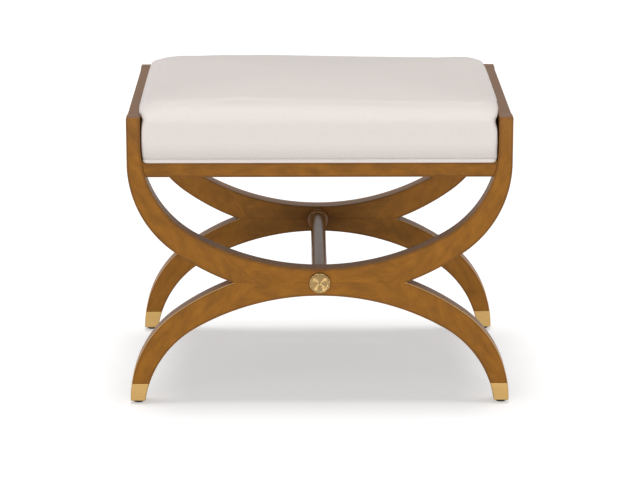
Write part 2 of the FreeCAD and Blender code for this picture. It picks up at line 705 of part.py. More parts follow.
def main():
    os.makedirs("parts", exist_ok=True)
    nodes = {**frame_nodes(), **rail_nodes(), **seat_nodes()}
    for name, shape in nodes.items():
        shape.exportStep("parts/" + name + ".step")
        print(name, len(shape.Solids), "solid", round(shape.Volume / 1000, 2), "cm3", shape.isValid())


main()
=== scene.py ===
# %% [markdown]
# # An upholstered ottoman on two curule frames
# The imported CAD model is the fixed frame of this lesson. Sizes are written in millimetres, as a joiner
# writes them, and the finished meshes are in metres. The box of the CAD model is kept.

# %% Load the imported model
import bpy
import bmesh
import numpy as np
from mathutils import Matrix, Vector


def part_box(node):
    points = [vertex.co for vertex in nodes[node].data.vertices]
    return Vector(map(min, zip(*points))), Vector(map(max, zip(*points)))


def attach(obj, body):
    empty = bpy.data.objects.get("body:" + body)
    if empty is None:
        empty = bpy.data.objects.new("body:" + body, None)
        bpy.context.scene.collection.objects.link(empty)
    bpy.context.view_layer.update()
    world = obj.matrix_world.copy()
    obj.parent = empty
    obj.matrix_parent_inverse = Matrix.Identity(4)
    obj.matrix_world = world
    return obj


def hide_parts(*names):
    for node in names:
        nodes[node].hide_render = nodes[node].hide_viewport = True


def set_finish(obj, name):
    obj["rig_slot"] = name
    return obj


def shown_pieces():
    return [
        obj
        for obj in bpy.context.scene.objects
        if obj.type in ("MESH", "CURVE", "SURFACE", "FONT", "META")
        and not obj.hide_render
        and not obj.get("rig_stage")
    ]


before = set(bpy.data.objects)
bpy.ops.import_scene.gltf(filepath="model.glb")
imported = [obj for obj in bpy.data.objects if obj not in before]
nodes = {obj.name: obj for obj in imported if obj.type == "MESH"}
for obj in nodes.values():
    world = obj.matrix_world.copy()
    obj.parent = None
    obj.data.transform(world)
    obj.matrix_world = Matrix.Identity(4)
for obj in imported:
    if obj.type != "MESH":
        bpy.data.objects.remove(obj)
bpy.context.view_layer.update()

MM = 0.001
scene = bpy.context.scene

# %% [markdown]
# ## Camera
# The ottoman was photographed with a long lens from above the seat, almost straight on. A long lens
# keeps the front and rear frames nearly the same size. The camera's place was found from the feet, the
# arms and the hub, so only that place in metres, two angles and the focal length are needed.

# %% Camera
CAMERA_PLACE = (-0.0330, -4.4214, 1.3463)
TILT_DOWN, TURN_RIGHT = 14.36, 0.456

camera_data = bpy.data.cameras.new("photo_camera")
camera_data.lens = 153.1
camera_data.sensor_width = 36.0
camera = bpy.data.objects.new("photo_camera", camera_data)
camera.location = CAMERA_PLACE
camera.rotation_euler = np.radians([90.0 - TILT_DOWN, 0.0, -TURN_RIGHT])
scene.collection.objects.link(camera)
scene.camera = camera
scene.view_settings.view_transform = "Standard"
print("camera at", CAMERA_PLACE, "lens", round(camera_data.lens, 1), "mm")

# %% [markdown]
# ## Colours and nodes
# Colours are written as sRGB hex values, as they are picked, and Blender's sockets want linear
# light, so one function turns them. A second small function adds a node with its settings and links.

# %% Colour and node helpers
def linear(hex_colour):
    """Linear colour of an sRGB hex value: c / 12.92 near black, else ((c + 0.055) / 1.055) to 2.4."""
    c = np.array([int(hex_colour[i:i + 2], 16) for i in (0, 2, 4)]) / 255.0
    bright = np.where(c <= 0.04045, c / 12.92, ((c + 0.055) / 1.055) ** 2.4)
    return (*bright.tolist(), 1.0)


def node(tree, kind, inputs=None, stops=(), **settings):
    """Adds a node: settings are its properties, inputs are values or another node's outputs, and stops
    are the places and colours of a ramp, its two ends first."""
    made = tree.nodes.new("ShaderNode" + kind)
    for name, value in settings.items():
        setattr(made, name, value)
    for socket, value in (inputs or {}).items():
        if isinstance(value, bpy.types.NodeSocket):
            tree.links.new(value, made.inputs[socket])
        else:
            made.inputs[socket].default_value = value
    for number, (place, colour) in enumerate(stops):
        stop = made.color_ramp.elements[number] if number < 2 else made.color_ramp.elements.new(place)
        stop.position = place
        stop.color = colour
    return made


def empty_material(name):
    """A material with no nodes yet, and its node tree."""
    material = bpy.data.materials.new(name)
    material.use_nodes = True
    material.node_tree.nodes.clear()
    return material, material.node_tree


print("mid grey 808080 is", round(linear("808080")[0], 3), "in linear light")

# %% [markdown]
# ## Floor and light
# The photograph was cut out on white, with the ottoman's own soft shadow left under it. The floor is
# therefore part pale paint, which takes the shadow, and part a plain glow that only the camera and
# reflections see, so that the paint and the glow together come to white. The light is a large soft
# one nearly overhead, a wide weak one from the front, two low narrow strips to the left and right of
# the camera, which draw the bright rays on the turned brass, and an even sky.

# %% Floor
# Half the floor's side in metres, far past the edge of the picture.
FLOOR_HALF = 30.0
FLOOR_PAINT = 0.80
FLOOR_GLOW = 0.42


def seen_rays(tree):
    """A socket that is 1 for what the camera sees, also by reflection or through glass, and else 0."""
    rays = node(tree, "LightPath").outputs
    seen = node(tree, "Math", {0: rays["Is Camera Ray"], 1: rays["Is Glossy Ray"]}, operation="MAXIMUM")
    seen = node(tree, "Math", {0: seen.outputs[0], 1: rays["Is Transmission Ray"]}, operation="MAXIMUM")
    return seen.outputs[0]


floor_mesh = bpy.data.meshes.new("studio_floor")
floor_corners = FLOOR_HALF * np.array([[-1, -1, 0], [1, -1, 0], [1, 1, 0], [-1, 1, 0]])
floor_mesh.from_pydata(floor_corners.tolist(), [], [(0, 1, 2, 3)])
floor = bpy.data.objects.new("studio_floor", floor_mesh)
scene.collection.objects.link(floor)
floor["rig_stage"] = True

# Matt studio paint gives the eye an even pale ground with no shine.
paint, tree = empty_material("matt_studio_paint")
glow = node(tree, "Math", {0: seen_rays(tree), 1: FLOOR_GLOW}, operation="MULTIPLY")
matt = node(tree, "BsdfDiffuse", {"Color": (FLOOR_PAINT, FLOOR_PAINT, FLOOR_PAINT, 1.0)})
shine = node(tree, "Emission", {"Strength": glow.outputs[0]})
both = node(tree, "AddShader", {0: matt.outputs[0], 1: shine.outputs[0]})
node(tree, "OutputMaterial", {"Surface": both.outputs[0]})
floor_mesh.materials.append(paint)
print("floor made, paint", FLOOR_PAINT, "glow", FLOOR_GLOW)

# %% Sky and lamps
SKY_LIGHT = 0.36

world = bpy.data.worlds.new("studio_sky")
scene.world = world
world.use_nodes = True
tree = world.node_tree
tree.nodes.clear()
level = node(tree, "MapRange", {"Value": seen_rays(tree), "To Min": SKY_LIGHT, "To Max": 1.0})
sky = node(tree, "Background", {"Strength": level.outputs[0]})
node(tree, "OutputWorld", {"Surface": sky.outputs[0]})


def soft_sun(name, strength, width, height, to_right):
    """A far lamp, with its width, its height and its turn to the right of the front in degrees."""
    lamp = bpy.data.lights.new(name, "SUN")
    lamp.energy = strength
    lamp.angle = np.radians(width)
    holder = bpy.data.objects.new(name, lamp)
    holder.rotation_euler = np.radians([90.0 - height, 0.0, to_right])
    scene.collection.objects.link(holder)


soft_sun("overhead_softbox", strength=1.60, width=26.0, height=86.0, to_right=-170.0)
soft_sun("front_softbox", strength=0.50, width=60.0, height=25.0, to_right=-10.0)
soft_sun("left_strip", strength=0.60, width=5.0, height=3.0, to_right=-18.0)
soft_sun("right_strip", strength=0.60, width=5.0, height=3.0, to_right=18.0)
print("sky", SKY_LIGHT, "and", len(bpy.data.lights), "lamps")

# %% [markdown]
# ## The curves of the frames
# A curule frame is a U on top of an arch, and both are the same board shape turned over. Joiners draw
# such a curve from three centres: a long arc across the middle, a tighter arc at each side, and then
# straight up. Each point of it is found from one angle, the turn away from straight down.

# %% Three-centred curves
GLUE_LINE = 202.5
ARM_TOP = 471.0


class BasketCurve:
    """Long arc of radius side + (span - side) / sin(turn), then a side arc, then straight up."""

    def __init__(self, half_span, side_radius, turn, lowest):
        self.half_span, self.side_radius, self.turn = half_span, side_radius, np.radians(turn)
        self.long_radius = side_radius + (half_span - side_radius) / np.sin(self.turn)
        self.long_centre = lowest + self.long_radius
        self.spring = self.long_centre - (self.long_radius - side_radius) * np.cos(self.turn)

    def edge(self, angle, rise=0.0):
        """Points at angles from straight down, moved up by rise, and unit normals to the middle."""
        sine, cosine = np.sin(angle), np.cos(angle)
        side = angle >= self.turn
        radius = np.where(side, self.side_radius, self.long_radius)
        x = np.where(side, self.half_span - self.side_radius, 0.0) + radius * sine
        z = np.where(side, self.spring, self.long_centre) - radius * cosine + rise
        return np.stack([x, z], -1), np.stack([-sine, cosine], -1)

    def at_height(self, z):
        """Angle and rise of the side's point at a height: cos(angle) = (spring - z) / side radius."""
        z = np.asarray(z, float)
        angle = np.arccos(np.clip((self.spring - z) / self.side_radius, 0.0, 1.0))
        return angle, np.maximum(z - self.spring, 0.0)


OUTER = BasketCurve(half_span=305.0, side_radius=178.0, turn=36.0, lowest=177.5)
INNER = BasketCurve(half_span=283.0, side_radius=169.0, turn=30.0, lowest=224.5)
CROTCH = np.arccos((OUTER.long_centre - GLUE_LINE) / OUTER.long_radius)
CROTCH_X = OUTER.long_radius * np.sin(CROTCH)
print("long radii", round(OUTER.long_radius, 1), round(INNER.long_radius, 1),
      "crotch at x", round(CROTCH_X, 1))

# %% [markdown]
# ## A board with eased edges
# Every wooden member is a rectangle carried along a path: two edges that may curve, a thickness, and
# corners that sandpaper has rounded. A Bevel modifier would need a weight on every edge to keep the
# joints sharp, so here the section itself has a small arc of points at each free corner. Two more
# points beside each arc keep the flat faces flat in smooth shading, and mark how far the dark glaze
# creeps in from the edges.

# %% Section carried along a path
ARC = np.linspace(0.0, np.pi / 2, 5)
LEAST_ROUND = 0.02
FLAT_FROM, GLAZE_WIDTH = 0.5, 3.0
GLAZED_FROM = 0.5
EDGE_GLAZE = 0.3


def carried_section(first, first_in, second, second_in, deep, thick, inset, round_1, round_2, painted_highlight=0.0):
    """Rows of points round a rectangle. Its corners lie on two edges, first and second, and on the
    same edges moved by thick along deep. A corner of radius r is the arc r (1 - cos a), r (1 - sin a)
    measured from the edge and from the face. A distance from an edge is laid off on the line between
    the two edges, so each row stays straight. Gives the points and how much glaze lies on each: most
    beside an eased edge, none at a joint, and less than none, a pale painted highlight, on the first
    edge's arcs as far as painted_highlight says."""
    across = second - first
    inset, round_1, round_2 = (np.broadcast_to(v, len(first))[:, None] for v in (inset, round_1, round_2))
    rows, rim = [], []
    for edge, into, radius, far, reverse, highlit in (
        (first, first_in, round_1, 0.0, False, painted_highlight), (second, second_in, round_2, 0.0, True, 0.0),
        (second, second_in, round_2, 1.0, False, 0.0), (first, first_in, round_1, 1.0, True, painted_highlight),
    ):
        # A highlit arc gets a value below zero: a pale painted highlight instead of glaze.
        on_arc = EDGE_GLAZE * (1.0 - highlit) - highlit
        glaze = np.array([0.0, 1.0] + [on_arc] * len(ARC) + [1.0, 0.0])
        rim.append(glaze * (radius >= GLAZED_FROM))
        radius = np.maximum(radius - inset, LEAST_ROUND)
        beside = radius + np.array([FLAT_FROM, GLAZE_WIDTH])
        from_edge = np.concatenate([0 * beside, radius * (1 - np.cos(ARC)), beside], axis=1)
        from_face = np.concatenate([beside[:, ::-1], radius * (1 - np.sin(ARC)), 0 * beside], axis=1)
        if reverse:
            from_edge, from_face = from_edge[:, ::-1], from_face[:, ::-1]
        slide = across / np.sum(across * into, axis=1, keepdims=True)
        depth = np.abs(far * thick - (from_face + inset))
        rows.append(edge[:, None] + slide[:, None] * (from_edge + inset)[..., None]
                    + deep * depth[..., None])
    return np.concatenate(rows, axis=1), np.concatenate(rim, axis=1)


def in_depth(plane_points, y=0.0):
    """Points or normals (x, z) of a frame as (x, y, z)."""
    return np.stack([plane_points[:, 0], np.full(len(plane_points), y), plane_points[:, 1]], -1)


print("points round a section:", 4 * (len(ARC) + 4))

# %% [markdown]
# ## From rows of points to a piece
# Neighbouring rows are joined by quads and the two ends are closed by one flat face each. Pieces are
# mirrored to the left, to the rear and upside down as arrays, which can turn a skin inside out, so
# the faces are turned outwards afterwards. Edges steeper than an eased corner stay sharp, so that the
# shading of an end doesn't run on into the sides.

# %% Mesh helpers
SHARP_FROM = np.radians(50.0)


def point_grid(rows, columns, close_rows=0, close_columns=1):
    """Numbers of the points of a grid, with its first row or column again at the end to close it."""
    at = np.arange(rows * columns).reshape(rows, columns)
    return np.pad(at, ((0, close_rows), (0, close_columns)), mode="wrap")


def grid_quads(at):
    """Quads between neighbouring rows and columns of a grid of point numbers."""
    return np.stack([at[:-1, :-1], at[:-1, 1:], at[1:, 1:], at[1:, :-1]], -1).reshape(-1, 4)


def closed_skin(rows):
    """Faces of closed loops of points: quads between neighbours, and one face on each end loop."""
    at = point_grid(*rows.shape[:2])
    return grid_quads(at).tolist() + [at[0, -2::-1].tolist(), at[-1, :-1].tolist()]


def new_piece(name, points, faces, slot, replaced):
    """Puts points in millimetres and faces into a smooth mesh that rides on the frame."""
    mesh = bpy.data.meshes.new(name)
    mesh.from_pydata((np.asarray(points).reshape(-1, 3) * MM).tolist(), [], faces)
    skin = bmesh.new()
    skin.from_mesh(mesh)
    bmesh.ops.recalc_face_normals(skin, faces=skin.faces)
    skin.to_mesh(mesh)
    skin.free()
    corners = np.empty(len(mesh.polygons), np.int32)
    mesh.polygons.foreach_get("loop_total", corners)
    mesh.polygons.foreach_set("use_smooth", corners <= 4)
    mesh.set_sharp_from_angle(angle=SHARP_FROM)
    piece = bpy.data.objects.new(name, mesh)
    scene.collection.objects.link(piece)
    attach(piece, "root")
    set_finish(piece, slot)
    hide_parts(*replaced)
    return piece


def point_values(piece, name, kind, values):
    """Stores one value or vector for each point of a piece under a name that a material can read."""
    layer = piece.data.attributes.new(name, kind, "POINT")
    key = "vector" if kind == "FLOAT_VECTOR" else "value"
    layer.data.foreach_set(key, np.asarray(values, np.float32).ravel())


print("edges over", round(np.degrees(SHARP_FROM)), "degrees stay sharp")

# %% [markdown]
# ## Wood knows its grain
# Grain runs straight through a board that is sawn curved, so each wooden piece keeps where each point
# lies along, across and through its own board. Every piece starts at another place of the pattern, as
# if cut from another board. The tone is deeper round the rear hub: painted shade, where the seat keeps
# light off the hub.

# %% Wooden pieces
NEXT_BOARD = np.array([531.0, 173.0, 97.0])
# Painted shade round the rear hub, under the seat: how far the tone falls, and over what reach.
HUB_PAINTED_SHADE, HUB_REACH, REAR_FROM = 0.30, 150.0, 190.0
wood_count = 0


def wooden_piece(name, points, faces, ways, rim, tone, replaced):
    """A piece of hardwood with the values its finish reads: grain, the dot products of a point with
    the ways along, across and through the wood in millimetres; rim, the glaze and, below zero, a painted
    highlight; tone, the stain, with painted shade round the rear hub."""
    global wood_count
    wood_count += 1
    piece = new_piece(name, points, faces, "frame_wood", replaced)
    point_values(piece, "grain", "FLOAT_VECTOR", points @ ways + wood_count * NEXT_BOARD)
    point_values(piece, "rim", "FLOAT", np.zeros(len(points)) + np.ravel(rim))
    point_values(piece, "tone", "FLOAT", np.zeros(len(points)) + tone)


def board(name, rows, rim, way, replaced, tone):
    """A sawn piece. Its ways are the grain's direction, a level or upright one through the board,
    and their cross product. At the rear its tone falls by a share of 1.2 - |x| / reach, up to 1:
    painted shade round the hub."""
    points = rows.reshape(-1, 3)
    along = np.array(way, float) / np.linalg.norm(way)
    through = np.array([0.0, 1.0, 0.0]) if abs(along[1]) < 0.5 else np.array([0.0, 0.0, 1.0])
    ways = np.stack([along, np.cross(through, along), through], -1)
    # near_hub is the share of painted shade, the seat's shadow on the rear hub, drawn into the tone.
    near_hub = np.clip(1.2 - np.abs(points[:, 0]) / HUB_REACH, 0.0, 1.0) * (points[:, 1] > REAR_FROM)
    wooden_piece(name, points, closed_skin(rows), ways, rim, tone - HUB_PAINTED_SHADE * near_hub, replaced)


print("each piece of wood starts", NEXT_BOARD, "mm on in the grain")

# %% [markdown]
# ## Arms and legs
# Each half of a frame is glued up from an arm or leg on either side and a block between them, on
# slanted scarfs, and the two halves meet on a level glue line. The arm's two edges are the outer and
# the inner curve down to the crotch, then the outer edge turns along the glue line to the scarf. The
# joint edges are left almost sharp, so that hardly a line shows there, as on the real frame, apart
# from one scarf at the front left, which is a dark line. The legs are the arms' shape turned upside
# down, with a stub for the ferrule, and a pale painted highlight runs along their outer edges.

# %% Arms and legs
STOCK = 32.0
FACE_Y = 228.5
EASE, HAIRLINE = 1.0, 0.3
SCARF_FOOT = CROTCH_X - 40.0
SCARF_ANGLE = np.radians(40.0)
RULE_END = np.radians(29.0)
SWEEP_ROWS, SCARF_ROWS = 72, 8
SCARF_SHARE = np.append(np.linspace(0.0, 0.96, SCARF_ROWS)[1:], 1.0)
FERRULE_TOP, STUB_LOW, STUB_INSET = 34.0, 7.0, 1.4
# Rows of the foot, counted from the ferrule's upper edge towards the floor, and their insets: the
# stub's end and root, then the eased shoulder of the leg.
FOOT_TO_FLOOR = np.array([FERRULE_TOP - STUB_LOW, 0.5, 0.0, -0.3, -0.8])
FOOT_INSET = np.array([STUB_INSET, STUB_INSET, 0.3, 0.0, 0.0])
# The ferrule's upper edge on a limb that isn't turned over yet.
FOOT_UP = 2 * GLUE_LINE - FERRULE_TOP
Y_WAY, Z_WAY = np.array([0.0, 1.0, 0.0]), np.array([0.0, 0.0, 1.0])

# The scarf rises from its foot on the glue line until it meets the inner curve's long arc.
drop = GLUE_LINE - INNER.long_centre
half_chord = SCARF_FOOT * np.cos(SCARF_ANGLE) + drop * np.sin(SCARF_ANGLE)
scarf = -half_chord - np.sqrt(half_chord**2 - SCARF_FOOT**2 - drop**2 + INNER.long_radius**2)
SCARF_HEAD = np.arcsin((SCARF_FOOT + scarf * np.cos(SCARF_ANGLE)) / INNER.long_radius)


def curve_down(curve, start_z, stop):
    """Points and normals of a curve from heights at its free end down to an angle."""
    angle, rise = curve.at_height(start_z)
    if rise[-1] > 0:
        angle = np.append(angle, np.pi / 2)
        rise = np.append(rise, 0.0)
    sweep = np.linspace(angle[-1], stop, SWEEP_ROWS)[1:]
    return curve.edge(np.append(angle, sweep), np.append(rise, 0 * sweep))


def limb_rows(start_z, start_inset, painted_highlight):
    """Section rows of the front right limb, from heights and insets at its free end to the scarf:
    first both curves, then the outer edge along the glue line and the inner one along its arc."""
    outer, outer_in = curve_down(OUTER, start_z, CROTCH)
    inner, inner_out = curve_down(INNER, start_z, RULE_END)
    foot = [CROTCH_X, GLUE_LINE] + SCARF_SHARE[:, None] * [SCARF_FOOT - CROTCH_X, 0.0]
    head, head_out = INNER.edge(RULE_END + SCARF_SHARE * (SCARF_HEAD - RULE_END))
    first, second = np.concatenate([outer, foot]), np.concatenate([inner, head])
    first_in = np.concatenate([outer_in, np.tile([0.0, 1.0], (SCARF_ROWS, 1))])
    second_in = -np.concatenate([inner_out, head_out])
    inset, outer_round = np.zeros(len(first)), np.full(len(first), EASE)
    inset[:len(start_inset)] = start_inset
    outer_round[-SCARF_ROWS:] = HAIRLINE
    return carried_section(in_depth(first, -FACE_Y), in_depth(first_in), in_depth(second, -FACE_Y),
                           in_depth(second_in), Y_WAY, STOCK, inset, outer_round, EASE, painted_highlight)


soft_end = np.linspace(np.pi / 2, 0.0, 5)
arm_rows, arm_rim = limb_rows(ARM_TOP - EASE + EASE * np.sin(soft_end), EASE * (1 - np.cos(soft_end)),
                              painted_highlight=0.0)
arm_rim[0] = 1.0
# The legs' outer edges carry a pale painted highlight.
leg_rows, leg_rim = limb_rows(FOOT_UP + FOOT_TO_FLOOR, FOOT_INSET, painted_highlight=1.0)
leg_rim[:len(FOOT_INSET) - 1] = 1.0
print("limb rows", arm_rows.shape, "scarf head at x", round(INNER.long_radius * np.sin(SCARF_HEAD), 1))

# %% Place the arms and legs
UPSIDE_DOWN = np.array([1.0, 1.0, -1.0])
LIFT = np.array([0.0, 0.0, 2 * GLUE_LINE])
LIMB_WAY = np.array([0.55, 0.0, 0.83])
LIMB_TONE = 0.02
OPEN_JOINT = "front_left_arm"
ENDS = (("front", 1.0), ("rear", -1.0))
SIDES = (("left", -1.0), ("right", 1.0))
for end, y_side in ENDS:
    for side, x_side in SIDES:
        flip = np.array([x_side, y_side, 1.0])
        arm, leg = f"{end}_{side}_arm", f"{end}_{side}_leg"
        rim = arm_rim.copy()
        if arm == OPEN_JOINT:
            rim[-1] = 1.0
        board(arm + "_wood", arm_rows * flip, rim, LIMB_WAY * flip, [arm], LIMB_TONE * x_side)
        board(leg + "_wood", (leg_rows * UPSIDE_DOWN + LIFT) * flip, leg_rim,
              LIMB_WAY * UPSIDE_DOWN * flip, [leg], -LIMB_TONE * x_side)
print("arms and legs placed, glaze in the scarf of", OPEN_JOINT)

# %% [markdown]
# ## Middle blocks
# The block of the cradle fills the space between the two scarfs, flat on the glue line and hollow on
# the inner curve above. The arch's block is the same shape turned over. Their grain is nearly level.

# %% Middle blocks
BLOCK_ROWS = 61
share = np.concatenate([[-1.0], np.linspace(-0.992, 0.992, BLOCK_ROWS - 2), [1.0]])
hollow, hollow_up = INNER.edge(SCARF_HEAD * share)
base = np.stack([SCARF_FOOT * share, np.full(BLOCK_ROWS, GLUE_LINE)], -1)
block_rows, block_rim = carried_section(
    in_depth(base, -FACE_Y), np.tile(Z_WAY, (BLOCK_ROWS, 1)), in_depth(hollow, -FACE_Y),
    in_depth(-hollow_up), Y_WAY, STOCK, 0.0, HAIRLINE, EASE)
for end, y_side in ENDS:
    flip = np.array([1.0, y_side, 1.0])
    cradle, arch = end + "_cradle_block", end + "_arch_block"
    rim = block_rim.copy()
    if OPEN_JOINT.startswith(end):
        rim[0] = 1.0
    board(cradle + "_wood", block_rows * flip, rim, [1, 0, 0.03], [cradle], tone=0.02)
    board(arch + "_wood", (block_rows * UPSIDE_DOWN + LIFT) * flip, block_rim, [1, 0, -0.05], [arch],
          tone=0.0)
print("middle blocks", block_rows.shape)

# %% [markdown]
# ## Rails
# The front and rear seat rails are cut to fit the inside of the arms, so their lower edge is shorter
# than their upper one. The side rails and the top rails run straight between the two frames, and their
# ends reach into the arms' eased edges, so that no gap shows there.

# %% Front and rear seat rails
RAIL_LOW, RAIL_HIGH = 375.0, 400.0
RAIL_FACE = 226.5
RAIL_BACK = FACE_Y - STOCK
RAIL_UPPER_EASE = 2.6
RAIL_ROWS = 25
reach_low, reach_high = (INNER.edge(*INNER.at_height(z))[0][0] for z in (RAIL_LOW, RAIL_HIGH))
share = np.linspace(-1.0, 1.0, RAIL_ROWS)[:, None]
low_edge = share * [reach_low, 0, 0] + [0, -RAIL_FACE, RAIL_LOW]
high_edge = share * [reach_high, 0, 0] + [0, -RAIL_FACE, RAIL_HIGH]
up = np.tile(Z_WAY, (RAIL_ROWS, 1))
rail_rows, rail_rim = carried_section(low_edge, up, high_edge, -up, Y_WAY, RAIL_FACE - RAIL_BACK,
                                      0.0, EASE, RAIL_UPPER_EASE)
for end, y_side in ENDS:
    board(end + "_seat_rail_wood", rail_rows * np.array([1.0, y_side, 1.0]), rail_rim, [1, 0, 0],
          [end + "_seat_rail"], tone=-0.08)
print("seat rails reach x", round(reach_low, 1), "below and", round(reach_high, 1), "above")

# %% Side rails and top rails
TOP_RAIL_OUT = 304.0
SIDE_ROWS = 21
y_end = RAIL_BACK + EASE
y_run = np.linspace(-y_end, y_end, SIDE_ROWS)[:, None] * Y_WAY
inward = np.tile([1.0, 0.0, 0.0], (SIDE_ROWS, 1))
for name in ("left_seat_rail", "right_seat_rail", "left_top_rail", "right_top_rail"):
    low, high = (np.array(corner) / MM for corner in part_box(name))
    if name == "left_top_rail":
        low[0] = -TOP_RAIL_OUT
    if name == "right_top_rail":
        high[0] = TOP_RAIL_OUT
    rows, rim = carried_section(y_run + [low[0], 0, low[2]], inward, y_run + [high[0], 0, low[2]],
                                -inward, Z_WAY, high[2] - low[2], 0.0, EASE, EASE)
    # The flat tops of the top rails, level with the arms, are glazed all over. The glaze there is also
    # painted shade, for the duller reflection of these faces that look up.
    rim = np.where(rows[..., 2] > ARM_TOP - 0.1, 1.0, rim)
    board(name + "_wood", rows, rim, [0, 1, 0], [name], tone=-0.06)
print("wooden pieces so far:", wood_count)

# %% [markdown]
# ## Turned pieces
# The stretcher, its beads, the brass rosettes and the glides all come off a lathe: one profile of
# radius against length, spun about an axis. Blender's Screw modifier would do the same, but as arrays
# a set of equal pieces comes in one go. A point of the profile at radius zero is one point of the
# mesh, closed by a fan of triangles.

# %% Lathe
AROUND = 96


def spun(profile, places, axes):
    """Points and faces of a profile (radius, length) spun about one or more lines: place + length *
    axis + radius * (cos a * u + sin a * v), with u along X and v square to it and to the axis."""
    profile = np.asarray(profile, float)
    angle = np.linspace(0.0, 2 * np.pi, AROUND, endpoint=False)
    u = np.array([1.0, 0.0, 0.0])
    points = []
    for place, axis in zip(np.array(places, float), np.array(axes, float)):
        ring = np.cos(angle)[:, None] * u + np.sin(angle)[:, None] * np.cross(axis, u)
        rows = profile[1:-1, None, :1] * ring + profile[1:-1, None, 1:] * axis
        points.append(np.concatenate([rows.reshape(-1, 3), profile[[0, -1], 1:] * axis]) + place)
    at = point_grid(len(profile) - 2, AROUND)
    first, last = np.full(AROUND, at.max() + 1), np.full(AROUND, at.max() + 2)
    fans = np.concatenate([np.stack([first, at[0, 1:], at[0, :-1]], -1),
                           np.stack([at[-1, :-1], at[-1, 1:], last], -1)])
    start = len(points[0]) * np.arange(len(points))[:, None, None]
    faces = (grid_quads(at) + start).reshape(-1, 4).tolist() + (fans + start).reshape(-1, 3).tolist()
    return np.concatenate(points), faces


print("lathe ready,", AROUND, "points round")

# %% Stretcher and its beads
ROD_RADIUS, ROD_EASE, ROD_FLAT_FROM = 12.5, 0.5, 1.5
ROD_END, ROD_PLAIN, ROD_ROWS = FACE_Y - STOCK, 180.0, 13
BEAD_RADIUS, BEAD_LENGTH = 18.75, 9.0
BEAD_FOOT, BEAD_MOUTH = ROD_RADIUS + 1.2, ROD_RADIUS + 0.2
TURNED_WAYS = np.eye(3)[:, [1, 0, 2]]
TURNED_TONE = -0.08

rod_end = [(0, ROD_END), (ROD_RADIUS - ROD_EASE, ROD_END), (ROD_RADIUS, ROD_END - ROD_EASE),
           (ROD_RADIUS, ROD_END - ROD_FLAT_FROM)]
rod_profile = [(r, -y) for r, y in rod_end]
rod_profile += [(ROD_RADIUS, y) for y in np.linspace(-ROD_PLAIN, ROD_PLAIN, ROD_ROWS)]
rod_profile += rod_end[::-1]
rod = spun(rod_profile, [(0, 0, GLUE_LINE)], [Y_WAY])
wooden_piece("stretcher_rod_wood", *rod, TURNED_WAYS, 0.0, TURNED_TONE, ["stretcher_rod"])

bulge = np.linspace(-np.pi / 2, np.pi / 2, 19)
bead_profile = [(0, 0.0), (BEAD_FOOT, 0.0)]
bead_profile += [(BEAD_FOOT + (BEAD_RADIUS - BEAD_FOOT) * np.cos(a), BEAD_LENGTH / 2 * (1 + np.sin(a)))
                 for a in bulge]
bead_profile += [(BEAD_MOUTH, BEAD_LENGTH), (0, BEAD_LENGTH)]
beads = spun(bead_profile, [(0, -ROD_END, GLUE_LINE), (0, ROD_END, GLUE_LINE)], [Y_WAY, -Y_WAY])
wooden_piece("rod_beads_wood", *beads, TURNED_WAYS, 0.0, TURNED_TONE, ["rod_collars"])
print("stretcher", 2 * ROD_END, "mm long and its beads turned")

# %% [markdown]
# ## Brass pieces
# The rosette is turned from bar: a domed rim, a shallow dished face and the dimple of the lathe's
# centre. The ferrules are cups of the leg's own section, bent from sheet and soldered, so they use the
# same two curves as the leg, only with rows for the inside of the cup as well.

# %% Rosettes
ROSETTE_RADIUS, ROSETTE_HEIGHT, ROSETTE_EASE = 16.75, 5.5, 0.3
RIM_ROUND, RIM_FLAT_FROM, RIM_TO_DISH = 1.3, 0.4, 0.3
DISH_DEPTH, DISH_RISE = 1.4, 0.35
# The dish ends at the dimple's lip. The dimple is given by radii and depths below the dish.
DIMPLE_LIP = 2.0
DIMPLE = ((1.6, 0.1), (0.96, 0.5), (0.0, 0.7))
dish_radius = ROSETTE_RADIUS - 2 * RIM_ROUND - RIM_TO_DISH
dish_level = ROSETTE_HEIGHT - DISH_DEPTH
rosette_profile = [(0, 0.0), (ROSETTE_RADIUS - ROSETTE_EASE, 0.0), (ROSETTE_RADIUS, ROSETTE_EASE),
                   (ROSETTE_RADIUS, ROSETTE_HEIGHT - RIM_ROUND - RIM_FLAT_FROM)]
rosette_profile += [(ROSETTE_RADIUS - RIM_ROUND + RIM_ROUND * np.cos(a),
                     ROSETTE_HEIGHT - RIM_ROUND + RIM_ROUND * np.sin(a))
                    for a in np.linspace(0.0, np.pi, 13)[:-2]]
rosette_profile += [(r, dish_level + DISH_RISE * (r / dish_radius) ** 2)
                    for r in np.linspace(dish_radius, DIMPLE_LIP, 14)]
rosette_profile += [(r, dish_level - depth) for r, depth in DIMPLE]
rosettes = new_piece("hub_rosettes_brass",
                     *spun(rosette_profile, [(0, -FACE_Y, GLUE_LINE), (0, FACE_Y, GLUE_LINE)],
                           [-Y_WAY, Y_WAY]), "brass", ["hub_rosettes"])
print("rosettes", 2 * ROSETTE_RADIUS, "mm across")

